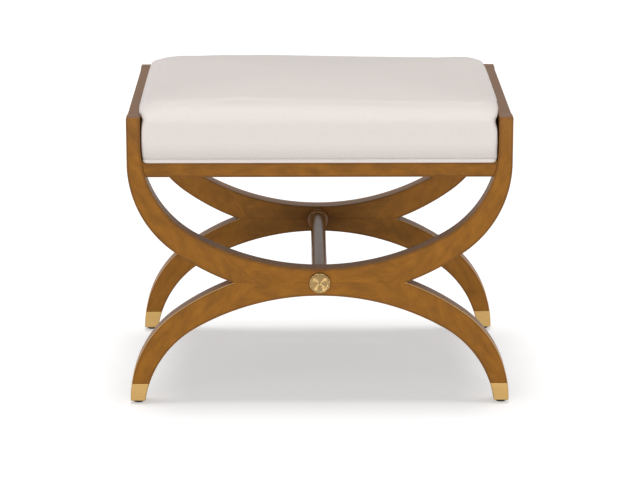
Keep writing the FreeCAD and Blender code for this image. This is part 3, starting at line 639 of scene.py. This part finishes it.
# %% Ferrules
GLIDE_HEIGHT = 5.5
CUP_EASE, CUP_CORNER, CUP_WALL = 0.8, 1.6, 1.2
CUP_LIP, CUP_FLAT_FROM = 0.2, 2.0
CUP_ROWS = 8
cup_end = 2 * GLUE_LINE - GLIDE_HEIGHT
soft_end = np.linspace(0.0, np.pi / 2, 5)
cup_z = np.concatenate([[cup_end - CUP_WALL, FOOT_UP, FOOT_UP, FOOT_UP + CUP_LIP, FOOT_UP + CUP_EASE],
                        np.linspace(FOOT_UP + CUP_FLAT_FROM, cup_end - CUP_FLAT_FROM, CUP_ROWS),
                        cup_end - CUP_EASE + CUP_EASE * np.sin(soft_end)])
cup_inset = np.concatenate([[CUP_WALL, CUP_WALL, CUP_LIP, 0.0, 0.0], np.zeros(CUP_ROWS),
                            CUP_EASE * (1 - np.cos(soft_end))])
outside, outside_in = OUTER.edge(*OUTER.at_height(cup_z))
inside, inside_out = INNER.edge(*INNER.at_height(cup_z))
cup_rows, _ = carried_section(in_depth(outside, -FACE_Y), in_depth(outside_in), in_depth(inside, -FACE_Y),
                              in_depth(-inside_out), Y_WAY, STOCK, cup_inset, CUP_CORNER, CUP_CORNER)
cup_rows = cup_rows * UPSIDE_DOWN + LIFT
ferrules = []
for end, y_side in ENDS:
    for side, x_side in SIDES:
        name = f"{end}_{side}_ferrule"
        rows = cup_rows * np.array([x_side, y_side, 1.0])
        ferrules.append(new_piece(name + "_brass", rows, closed_skin(rows), "brass", [name]))
print(len(ferrules), "ferrules", FERRULE_TOP - GLIDE_HEIGHT, "mm high")

# %% [markdown]
# ## Glides
# A dark nylon button under each foot keeps the brass off the floor. It is a short disc whose lower
# edge is rounded, so it slides, and the lathe makes all four in one go. Each lies under the middle of
# its foot, halfway between the two curves where the CAD model's ferrule ends.

# %% Glides
GLIDE_RADIUS, GLIDE_CURL, GLIDE_BAND = 8.0, 1.2, 3.5
foot_end = 2 * GLUE_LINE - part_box("front_left_ferrule")[0][2] / MM
FOOT_X = np.mean([curve.edge(*curve.at_height(foot_end))[0][0] for curve in (OUTER, INNER)])
FOOT_Y = FACE_Y - STOCK / 2
glide_places = [(x_side * FOOT_X, y_side * FOOT_Y, 0.0) for x_side in (-1, 1) for y_side in (-1, 1)]
curl = np.linspace(0.0, np.pi / 2, 6)
glide_profile = [(0, 0.0)]
glide_profile += [(GLIDE_RADIUS - GLIDE_CURL + GLIDE_CURL * np.sin(a), GLIDE_CURL - GLIDE_CURL * np.cos(a))
                  for a in curl]
glide_profile += [(GLIDE_RADIUS, GLIDE_BAND), (GLIDE_RADIUS, GLIDE_HEIGHT), (0, GLIDE_HEIGHT)]
glides = new_piece("foot_glides_nylon", *spun(glide_profile, glide_places, [Z_WAY] * 4), "glide_nylon",
                   ["foot_glides"])
print(len(glide_places), "glides at x", round(FOOT_X, 2), "and y", FOOT_Y, "mm from the middle")

# %% [markdown]
# ## The upholstered seat
# The seat is foam and a fibre wrap under one cloth, pulled over the top and drawn in at the welt. Its
# sides are held between the arms, and it swells a little where it rises above them. The surface is a
# rounded rectangle whose half sizes, corner radius and height change from the welt up the side, over
# the shoulder and in to the middle of the top.

# %% Seat outline helpers
SEAT_X, SEAT_Y = 280.0, 228.0
SEAT_LOW, SEAT_EDGE, SEAT_TOP = 400.4, 490.6, 501.4
SIDE_SHOULDER, FRONT_SHOULDER = 18.0, 36.0


def rounded_loop(half_x, half_y, corner, arc_points, run_points):
    """Loops of a rectangle with rounded corners, one for each row of the half sizes and radii:
    four quarter arcs about (half_x - corner, half_y - corner), and straight runs between them."""
    half_x, half_y, corner = (np.atleast_1d(v).astype(float)[:, None] for v in (half_x, half_y, corner))
    arcs = []
    for quarter, (x_side, y_side) in enumerate(((1, 1), (-1, 1), (-1, -1), (1, -1))):
        a = np.linspace(0.0, np.pi / 2, arc_points) + quarter * np.pi / 2
        arcs.append(np.stack([x_side * (half_x - corner) + corner * np.cos(a),
                              y_side * (half_y - corner) + corner * np.sin(a)], -1))
    share = np.linspace(0.0, 1.0, run_points + 2)[1:-1, None]
    parts = []
    for arc, following in zip(arcs, arcs[1:] + arcs[:1]):
        start, stop = arc[:, -1:, :], following[:, :1, :]
        parts += [arc, start + (stop - start) * share]
    return np.concatenate(parts, axis=1)


def stands_out(z, shoulder, swell):
    """How far a side stands out at a height: the swell, given as heights and offsets, less the
    shoulder's round, shoulder * (1 - sqrt(1 - s^2)), where s goes from 0 to 1 up the shoulder."""
    s = np.clip((z - SEAT_EDGE + shoulder) / shoulder, 0.0, 1.0)
    return np.interp(z, *swell) - shoulder * (1 - np.sqrt(1 - s**2))


print("seat from z", SEAT_LOW, "to about", SEAT_TOP)

# %% Seat surface
SIDE_SWELL = ([SEAT_LOW, 408, 416, 430, 445, 458, 467, 473, 480],
              [-0.4, 0.6, 1.8, 2.4, 1.8, 0.8, -1.2, 4.6, 10.2])
FRONT_SWELL = ([SEAT_LOW, 406, 414, 426, 440, 470], [-3.6, -2.4, -0.4, 1.4, 2.4, 3.4])
TOP_CORNER = 48.0
CORNER_ROUND = ([SEAT_LOW, 455, 472, SEAT_EDGE], [4.0, 4.0, 14.0, TOP_CORNER])
MIDDLE_X, MIDDLE_Y, MIDDLE_CORNER = 40.0, 2.0, 1.5
WALL_ROWS, SHOULDER_ROWS, TOP_ROWS = 15, 15, 25
shoulder_low = SEAT_EDGE - FRONT_SHOULDER
bend = np.linspace(0.0, np.pi / 2, SHOULDER_ROWS)
level_z = np.concatenate([np.linspace(SEAT_LOW, shoulder_low, WALL_ROWS, endpoint=False),
                          shoulder_low + FRONT_SHOULDER * np.sin(bend)])
wall_x = SEAT_X + stands_out(level_z, SIDE_SHOULDER, SIDE_SWELL)
wall_y = SEAT_Y + stands_out(level_z, FRONT_SHOULDER, FRONT_SWELL)
inwards = np.linspace(0.0, 1.0, TOP_ROWS + 1)[1:]
half_x = np.concatenate([wall_x, wall_x[-1] * (1 - inwards) + MIDDLE_X * inwards])
half_y = np.concatenate([wall_y, wall_y[-1] * (1 - inwards) + MIDDLE_Y * inwards])
corner = np.concatenate([np.interp(level_z, *CORNER_ROUND),
                         TOP_CORNER * (1 - inwards) + MIDDLE_CORNER * inwards])
level_z = np.concatenate([level_z, SEAT_EDGE + (SEAT_TOP - SEAT_EDGE) * (1 - (1 - inwards) ** 2)])
loops = rounded_loop(half_x, half_y, corner, arc_points=9, run_points=24)
print("seat loops", loops.shape)

# %% [markdown]
# No upholstered seat is quite even. Above the arms this one's corners are drawn in, and its top is
# fuller on the left. The whole seat leans a little to the left, and on the right it is dented under
# the arm's top and bulges over it. Each of these is a small shift of the even surface.

# %% Seat as it sits
CORNER_DRAW, LEAN = 2.4, 0.5
FULL_LEFT, LOW_RIGHT = 5.6, 9.4
RISE_OVER_ARM = 20.0
RIGHT_DENT = ([400, 412, 453, 463, 468, 472, 478, 488], [-3.5, 0.0, 0.0, 3.8, 0.4, -1.6, 1.6, 0.0])
x, y = loops[..., 0], loops[..., 1]
z = np.broadcast_to(level_z[:, None], x.shape)
x_share, y_share = x / SEAT_X, y / SEAT_Y
over_arm = np.clip((z - ARM_TOP) / RISE_OVER_ARM, 0.0, 1.0)
draw = CORNER_DRAW * over_arm
fuller = -(FULL_LEFT * x_share + LOW_RIGHT * x_share**4) * (1 - x_share**2) * over_arm
dent = np.interp(z, *RIGHT_DENT) * np.clip(x_share, 0.0, 1.0) ** 4
seat_rows = np.stack([x - LEAN - dent - draw * y_share**2 * x_share,
                      y - draw * x_share**2 * y_share, z + fuller], -1)
print("seat highest at z", seat_rows[..., 2].max().round(1))

# %% [markdown]
# ## The seat settles
# The drawn surface is still a drawing. A cloth simulation lets the pull of the cover and the push of
# the foam settle: the seat starts a little smaller, is blown up by pressure with its foot held by the
# staples, and only the part of the movement along the normals is kept. One subdivision makes it smooth.

# %% Seat cushion, with cloth simulation
VOXEL, SHRINK = 5.6, 2.5
MOST_SINK, MOST_SWELL = -0.5, 2.0
STAPLED, FREE = SEAT_LOW + 5.0, SEAT_LOW + 6.0
BETWEEN_ARMS = INNER.half_span - 0.4
CLOTH_STEPS = 20
seat = new_piece("seat_cushion", seat_rows, closed_skin(seat_rows), "cover_cloth",
                 ["seat_cover", "seat_wrap", "seat_foam"])


def evaluated_mesh(thing):
    """The mesh of an object with its modifiers applied, as a new mesh."""
    bpy.context.view_layer.update()
    return bpy.data.meshes.new_from_object(thing.evaluated_get(bpy.context.evaluated_depsgraph_get()))


def point_array(mesh, key):
    """One vector for each point of a mesh, such as its place or its normal, as rows of an array."""
    flat = np.empty(len(mesh.vertices) * 3, np.float32)
    mesh.vertices.foreach_get(key, flat)
    return flat.reshape(-1, 3)


def settle(piece):
    """Inflates a slightly smaller seat with cloth pressure, its foot held by the staples. How far the
    cloth ends outside or inside the drawn surface is measured along the normal and capped."""
    remesh = piece.modifiers.new("voxels", "REMESH")
    remesh.mode = "VOXEL"
    remesh.voxel_size = VOXEL * MM
    mesh = evaluated_mesh(piece)
    piece.modifiers.remove(remesh)
    normals = point_array(mesh, "normal")
    points = point_array(mesh, "co").astype(float) / MM
    start = points - SHRINK * normals * (points[:, 2:] > FREE)
    mesh.vertices.foreach_set("co", (start * MM).astype(np.float32).ravel())
    soft = bpy.data.objects.new("seat_settling", mesh)
    scene.collection.objects.link(soft)
    held = soft.vertex_groups.new(name="stapled")
    held.add(np.flatnonzero(start[:, 2] < STAPLED).tolist(), 1.0, "REPLACE")
    cover = soft.modifiers.new("cover", "CLOTH").settings
    cover.quality = 6
    cover.mass = 0.4
    cover.use_pressure = True
    cover.uniform_pressure_force = 4.0
    cover.effector_weights.gravity = 0.0
    cover.vertex_group_mass = held.name
    for step in range(1, CLOTH_STEPS + 1):
        scene.frame_set(step)
    moved = point_array(evaluated_mesh(soft), "co").astype(float) / MM - points
    scene.frame_set(1)
    swell = np.sum(moved * normals, axis=1, keepdims=True)
    points = points + normals * np.clip(swell, MOST_SINK, MOST_SWELL)
    low = points[:, 2] < ARM_TOP
    points[low, 0] = np.clip(points[low, 0], -BETWEEN_ARMS, BETWEEN_ARMS)
    bpy.data.objects.remove(soft)
    mesh.vertices.foreach_set("co", (points * MM).astype(np.float32).ravel())
    piece.data = mesh
    print("seat settled, points", len(points), "swell from", swell.min().round(2), "to",
          swell.max().round(2), "mm, mean", swell.mean().round(2))


settle(seat)
smooth = seat.modifiers.new("even cloth", "SMOOTH")
smooth.factor = 0.5
smooth.iterations = 2
finer = seat.modifiers.new("finer cloth", "SUBSURF")
finer.levels = finer.render_levels = 1
seat.data.polygons.foreach_set("use_smooth", np.ones(len(seat.data.polygons), bool))
print("seat faces", len(seat.data.polygons))

# %% [markdown]
# ## Welt
# A cord wrapped in the same cloth runs round the foot of the seat, where the cover is stapled under.
# A Blender curve with a round bevel would give such a tube. Here it is a circle carried round a loop
# from the seat's own outline function, set in from the seat by about the cord's own radius.

# %% Welt
WELT_RADIUS, WELT_HEIGHT = 3.4, 401.3
WELT_IN_X, WELT_IN_Y, WELT_CORNER = 3.4, 2.4, 6.0
WELT_AROUND = 20
cord_line = rounded_loop(SEAT_X - WELT_IN_X, SEAT_Y - WELT_IN_Y, WELT_CORNER, arc_points=17,
                         run_points=40)[0]
ahead = np.roll(cord_line, -1, axis=0) - np.roll(cord_line, 1, axis=0)
ahead /= np.linalg.norm(ahead, axis=1, keepdims=True)
outward = np.stack([ahead[:, 1], -ahead[:, 0]], -1)
angle = np.linspace(0.0, 2 * np.pi, WELT_AROUND, endpoint=False)
level_part = cord_line[:, None] + outward[:, None] * (WELT_RADIUS * np.cos(angle))[None, :, None]
upright_part = (WELT_HEIGHT + WELT_RADIUS * np.sin(angle))[None, :, None]
welt_rows = np.concatenate([level_part, np.broadcast_to(upright_part, level_part.shape[:2] + (1,))], -1)
welt_faces = grid_quads(point_grid(len(cord_line), WELT_AROUND, close_rows=1)).tolist()
welt = new_piece("seat_welt_cord", welt_rows, welt_faces, "cover_cloth", ["seat_welt"])
print("welt length in mm", round(np.linalg.norm(np.roll(cord_line, -1, axis=0) - cord_line, axis=1).sum()))

# %% [markdown]
# ## Dust cover
# Under the seat a thin black cloth closes the frame. It is one flat sheet with its corners cut for the
# corner blocks, stapled all round, and it sags a few millimetres in the middle, by the product of two
# parabolas. The Solidify modifier gives it its thickness.

# %% Dust cover
DUST_X, DUST_Y, DUST_CUT = 253.0, 194.3, 41.0
DUST_LEVEL, DUST_SAG, DUST_THICK = 399.3, 2.5, 0.5
DUST_ROWS, DUST_COLUMNS = 31, 27
straight = 1 - DUST_CUT / DUST_X
x_share = np.concatenate([[-1.0], np.linspace(-straight, straight, DUST_ROWS), [1.0]])
y_share = np.linspace(-1.0, 1.0, DUST_COLUMNS)
x = (DUST_X * x_share)[:, None] + 0 * y_share
y = y_share * np.minimum(DUST_Y, DUST_X + DUST_Y - DUST_CUT - np.abs(x))
z = DUST_LEVEL - DUST_SAG * (1 - x_share[:, None] ** 2) * (1 - y_share**2)
dust_faces = grid_quads(point_grid(*x.shape, close_columns=0))[:, ::-1].tolist()
dust = new_piece("dust_cover_cloth", np.stack([x, y, z], -1), dust_faces, "dust_cloth", ["dust_cover"])
thin = dust.modifiers.new("cloth thickness", "SOLIDIFY")
thin.thickness = DUST_THICK * MM

# %% [markdown]
# ## Lacquered hardwood
# The frames are a fine-grained hardwood, stained golden brown, glazed and sprayed with a satin
# lacquer. The eye gets a warm mottled figure, short darker pores along the grain, a few dark flecks,
# darker glaze at the edges, pale lines of painted highlight along the legs' outer edges, and a soft
# reflection of the pale room on every face that looks up. The turned pieces are polished on the
# lathe, so theirs is sharper.

# %% Lacquered hardwood
# Sizes along, across and through the grain in millimetres. Fibres and pores are drawn coarser than real
# ones, so that they show.
FIGURE, FIBRE, PORE = (30.0, 15.0, 15.0), (60.0, 1.8, 1.8), (9.0, 0.9, 0.9)
FLECK_SPACING = 10.0
# A colour Mix node's two colours and its result have these numbers among its sockets.
MIX_A, MIX_B, MIXED = 6, 7, 2


def lacquered(name, roughness, gloss):
    """Stained hardwood under lacquer, with a roughness from low to high and a level of gloss."""
    wood, tree = empty_material(name)
    grain = node(tree, "Attribute", attribute_name="grain").outputs["Vector"]
    rim = node(tree, "Attribute", attribute_name="rim").outputs["Fac"]
    tone = node(tree, "Attribute", attribute_name="tone").outputs["Fac"]
    layers = []
    for sizes, detail, more in ((FIGURE, 4.0, {"Roughness": 0.55, "Distortion": 0.4}), (FIBRE, 2.0, {}),
                                (PORE, 1.0, {})):
        layer = node(tree, "Mapping", {"Vector": grain, "Scale": [1 / size for size in sizes]})
        layer = node(tree, "TexNoise", {"Vector": layer.outputs[0], "Scale": 1.0, "Detail": detail, **more})
        layers.append(layer.outputs[0])
    figure, fibre, pore = layers
    fleck = node(tree, "TexVoronoi", {"Vector": grain, "Scale": 1 / FLECK_SPACING}).outputs["Distance"]
    # The stain goes from dark to light with the figure, and the fibres make it finely uneven.
    toned = node(tree, "Math", {0: figure, 1: tone}, operation="ADD")
    stain = node(tree, "ValToRGB", {"Fac": toned.outputs[0]},
                 stops=((0.25, linear("7B4D08")), (0.75, linear("9D6412"))))
    uneven = node(tree, "MapRange", {"Value": fibre, "From Min": 0.3, "From Max": 0.7, "To Min": 0.92,
                                     "To Max": 1.06})
    colour = node(tree, "Mix", {"Factor": 1.0, MIX_A: stain.outputs[0], MIX_B: uneven.outputs[0]},
                  data_type="RGBA", blend_type="MULTIPLY")
    # Pores, flecks up to 2 mm across, glaze and the painted highlight on the legs' edges lie over it in
    # turn.
    for value, low, high, share, over in (
        (pore, 0.66, 0.78, 0.45, "4A2C0E"),
        (fleck, 0.11, 0.05, 0.50, "4A2C0E"),
        (rim, 0.0, 1.0, 0.55, "4E3012"),
        # A rim below zero is a painted highlight: pale lines along the legs' outer edges.
        (rim, 0.0, -1.0, 0.75, "CFA269"),
    ):
        laid = node(tree, "MapRange", {"Value": value, "From Min": low, "From Max": high, "To Max": share})
        colour = node(tree, "Mix", {0: laid.outputs[0], MIX_A: colour.outputs[MIXED],
                                    MIX_B: linear(over)}, data_type="RGBA")
    bump = node(tree, "Bump", {"Strength": 0.05, "Distance": 0.2 * MM, "Height": fibre})
    matt = node(tree, "MapRange", {"Value": figure, "To Min": roughness[0], "To Max": roughness[1]})
    shader = node(tree, "BsdfPrincipled", {"Base Color": colour.outputs[MIXED], "IOR": 1.5,
                                           "Roughness": matt.outputs[0], "Specular IOR Level": gloss,
                                           "Normal": bump.outputs[0]})
    node(tree, "OutputMaterial", {"Surface": shader.outputs[0]})
    return wood


satin_wood = lacquered("lacquered_hardwood", roughness=(0.36, 0.46), gloss=0.20)
turned_finish = {
    "stretcher_rod_wood": lacquered("polished_turned_hardwood", roughness=(0.26, 0.34), gloss=0.34),
    "rod_beads_wood": lacquered("glossy_turned_hardwood", roughness=(0.20, 0.26), gloss=0.50),
}
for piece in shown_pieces():
    if piece.get("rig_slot") == "frame_wood":
        piece.data.materials.append(turned_finish.get(piece.name, satin_wood))
print("lacquered hardwood on", wood_count, "pieces")

# %% [markdown]
# ## Upholstery cloth
# The cover is a smooth off-white plain weave. From here it reads as one soft tone with a faint slub,
# so the weave is a fine bump and the slub a slight change of tone. Just above the welt, where the
# cloth is tucked in, its colour is multiplied by a grey that fades out up the side: painted shade of
# the tuck.

# %% Upholstery cloth
# Threads are 0.5 mm apart, drawn 1.2 mm apart so that they show at all. A wave texture of scale s
# repeats every 2 pi / (20 s) metres. The slub is about 3 mm long.
THREAD = 1.2
SLUB_SCALE = 350.0
# The painted shade of the tuck, at shares of the way up, is white on the welt itself and again at
# the upper end.
TUCK_LOW, TUCK_HIGH = 400.0, 430.0
TUCK_PAINTED_SHADE = ((0.16, 1.0), (0.98, 1.0), (0.18, 0.86), (0.36, 0.87), (0.68, 0.95))

cloth, tree = empty_material("off_white_plain_weave")
place = node(tree, "TexCoord").outputs["Object"]
threads = [node(tree, "TexWave", {"Vector": place, "Scale": 2 * np.pi / (20.0 * THREAD * MM),
                                  "Distortion": 0.6, "Detail": 1.0}, bands_direction=way).outputs["Fac"]
           for way in ("X", "Y", "Z")]
weave = node(tree, "Math", {0: threads[0], 1: threads[1]}, operation="ADD")
weave = node(tree, "Math", {0: weave.outputs[0], 1: threads[2]}, operation="ADD")
slub = node(tree, "TexNoise", {"Vector": place, "Scale": SLUB_SCALE, "Detail": 3.0})
dye = node(tree, "ValToRGB", {"Fac": slub.outputs[0]},
           stops=((0.3, linear("E2DAD5")), (0.7, linear("E6DED9"))))
height = node(tree, "SeparateXYZ", {"Vector": place})
# Painted shade: a grey by height, multiplied into the cloth's colour just above the welt.
painted_tuck_shade = node(tree, "MapRange", {"Value": height.outputs["Z"], "From Min": TUCK_LOW * MM,
                               "From Max": TUCK_HIGH * MM})
painted_tuck_shade = node(tree, "ValToRGB", {"Fac": painted_tuck_shade.outputs[0]},
            stops=[(share, (grey, grey, grey, 1.0)) for share, grey in TUCK_PAINTED_SHADE])
colour = node(tree, "Mix", {"Factor": 1.0, MIX_A: dye.outputs[0], MIX_B: painted_tuck_shade.outputs[0]},
              data_type="RGBA", blend_type="MULTIPLY")
bump = node(tree, "Bump", {"Strength": 0.1, "Distance": 0.2 * MM, "Height": weave.outputs[0]})
shader = node(tree, "BsdfPrincipled", {"Base Color": colour.outputs[MIXED], "Roughness": 0.9,
                                       "Sheen Weight": 0.15, "Sheen Roughness": 0.5,
                                       "Specular IOR Level": 0.2, "Normal": bump.outputs[0]})
node(tree, "OutputMaterial", {"Surface": shader.outputs[0]})
for piece in (seat, welt):
    piece.data.materials.append(cloth)
print("cloth on", seat.name, "and", welt.name)

# %% [markdown]
# ## Brass
# The ferrules are satin brushed and lacquered, a soft even gold. The rosette's face keeps the rings
# of the turning tool, so it throws bright rays where the lamps stand, which Blender gives with an
# anisotropic highlight whose tangent runs round the axis.

# %% Satin brushed brass
# Brush marks run level round the ferrule. Real ones are finer, and are drawn this coarse to show.
BRUSH_LENGTH, BRUSH_WIDTH = 30.0, 0.8

satin, tree = empty_material("satin_brushed_brass")
place = node(tree, "TexCoord").outputs["Object"]
brush_scale = [1 / (size * MM) for size in (BRUSH_LENGTH, BRUSH_LENGTH, BRUSH_WIDTH)]
brush = node(tree, "Mapping", {"Vector": place, "Scale": brush_scale})
brush = node(tree, "TexNoise", {"Vector": brush.outputs[0], "Scale": 1.0, "Detail": 3.0})
gold = node(tree, "ValToRGB", {"Fac": brush.outputs[0]},
            stops=((0.0, linear("A4814A")), (1.0, linear("BE9E68"))))
matt = node(tree, "MapRange", {"Value": brush.outputs[0], "To Min": 0.30, "To Max": 0.48})
shader = node(tree, "BsdfPrincipled", {"Base Color": gold.outputs[0], "Metallic": 1.0,
                                       "Roughness": matt.outputs[0]})
node(tree, "OutputMaterial", {"Surface": shader.outputs[0]})
for piece in ferrules:
    piece.data.materials.append(satin)
print("satin brass on", len(ferrules), "ferrules")

# %% Turned brass
# Rings of the turning tool, as a sine of the distance from the hub's axis.
TOOL_RING = 0.7

turned_brass, tree = empty_material("turned_brass")
place = node(tree, "TexCoord").outputs["Object"]
tangent = node(tree, "Tangent", direction_type="RADIAL", axis="Y")
rings = node(tree, "Mapping", {"Vector": place, "Location": (0.0, 0.0, -GLUE_LINE * MM)})
rings = node(tree, "VectorMath", {0: rings.outputs[0], 1: (1.0, 0.0, 1.0)}, operation="MULTIPLY")
rings = node(tree, "VectorMath", {0: rings.outputs[0]}, operation="LENGTH")
rings = node(tree, "Math", {0: rings.outputs["Value"], 1: 2 * np.pi / (TOOL_RING * MM)},
             operation="MULTIPLY")
rings = node(tree, "Math", {0: rings.outputs[0]}, operation="SINE")
gold = node(tree, "ValToRGB", {"Fac": rings.outputs[0]},
            stops=((0.0, linear("947A50")), (1.0, linear("B49668"))))
bump = node(tree, "Bump", {"Strength": 0.05, "Distance": 0.1 * MM, "Height": rings.outputs[0]})
shader = node(tree, "BsdfPrincipled", {"Base Color": gold.outputs[0], "Metallic": 1.0, "Roughness": 0.31,
                                       "Anisotropic": 1.0, "Tangent": tangent.outputs[0],
                                       "Normal": bump.outputs[0]})
node(tree, "OutputMaterial", {"Surface": shader.outputs[0]})
rosettes.data.materials.append(turned_brass)
print("turned brass on", rosettes.name)

# %% [markdown]
# ## Nylon, dust cloth and the hidden parts
# The glides are dark moulded nylon. The dust cover is a black spun cloth with a faint fibre pattern.
# The parts inside keep their CAD shapes and get what they are made of: bare hardwood with its grain,
# plywood with its plies, and zinc-plated steel with its fine spangle. All of these are one noise
# between two colours, of another size, stretch and gloss.

# %% Nylon, dust cloth and hidden finishes
def speckled(name, dark, light, size, stretch, roughness, metallic=0.0):
    """A surface that varies between two colours in specks of a size in millimetres, stretched along
    X, Y or Z."""
    material, tree = empty_material(name)
    place = node(tree, "TexCoord").outputs["Object"]
    speck = node(tree, "Mapping", {"Vector": place, "Scale": [1 / (size * MM * s) for s in stretch]})
    speck = node(tree, "TexNoise", {"Vector": speck.outputs[0], "Scale": 1.0, "Detail": 3.0})
    colour = node(tree, "ValToRGB", {"Fac": speck.outputs[0]},
                  stops=((0.3, linear(dark)), (0.7, linear(light))))
    bump = node(tree, "Bump", {"Strength": 0.1, "Distance": 0.2 * MM, "Height": speck.outputs[0]})
    shader = node(tree, "BsdfPrincipled", {"Base Color": colour.outputs[0], "Roughness": roughness,
                                           "Metallic": metallic, "Normal": bump.outputs[0]})
    node(tree, "OutputMaterial", {"Surface": shader.outputs[0]})
    return material


glides.data.materials.append(speckled("moulded_nylon", "0B0907", "15110D", 0.8, (1, 1, 1), 0.6))
dust.data.materials.append(speckled("spun_dust_cloth", "101010", "1E1E1E", 1.5, (4, 1, 1), 0.95))
hidden = {
    "inner_wood": speckled("bare_hardwood", "A9815A", "C49C70", 2.0, (12, 1, 1), 0.7),
    "plywood": speckled("birch_plywood", "B08C5E", "D2B184", 1.5, (30, 30, 1), 0.7),
    "zinc_steel": speckled("zinc_plated_steel", "8E9094", "B4B7BB", 1.0, (1, 1, 1), 0.35, 1.0),
}
for part in nodes.values():
    slot_name = part.data.materials[0].name.split(".")[0] if part.data.materials else ""
    if slot_name in hidden:
        part.material_slots[0].material = hidden[slot_name]
print("finishes set on", sum(1 for part in nodes.values() if not part.hide_render), "CAD nodes that stay")
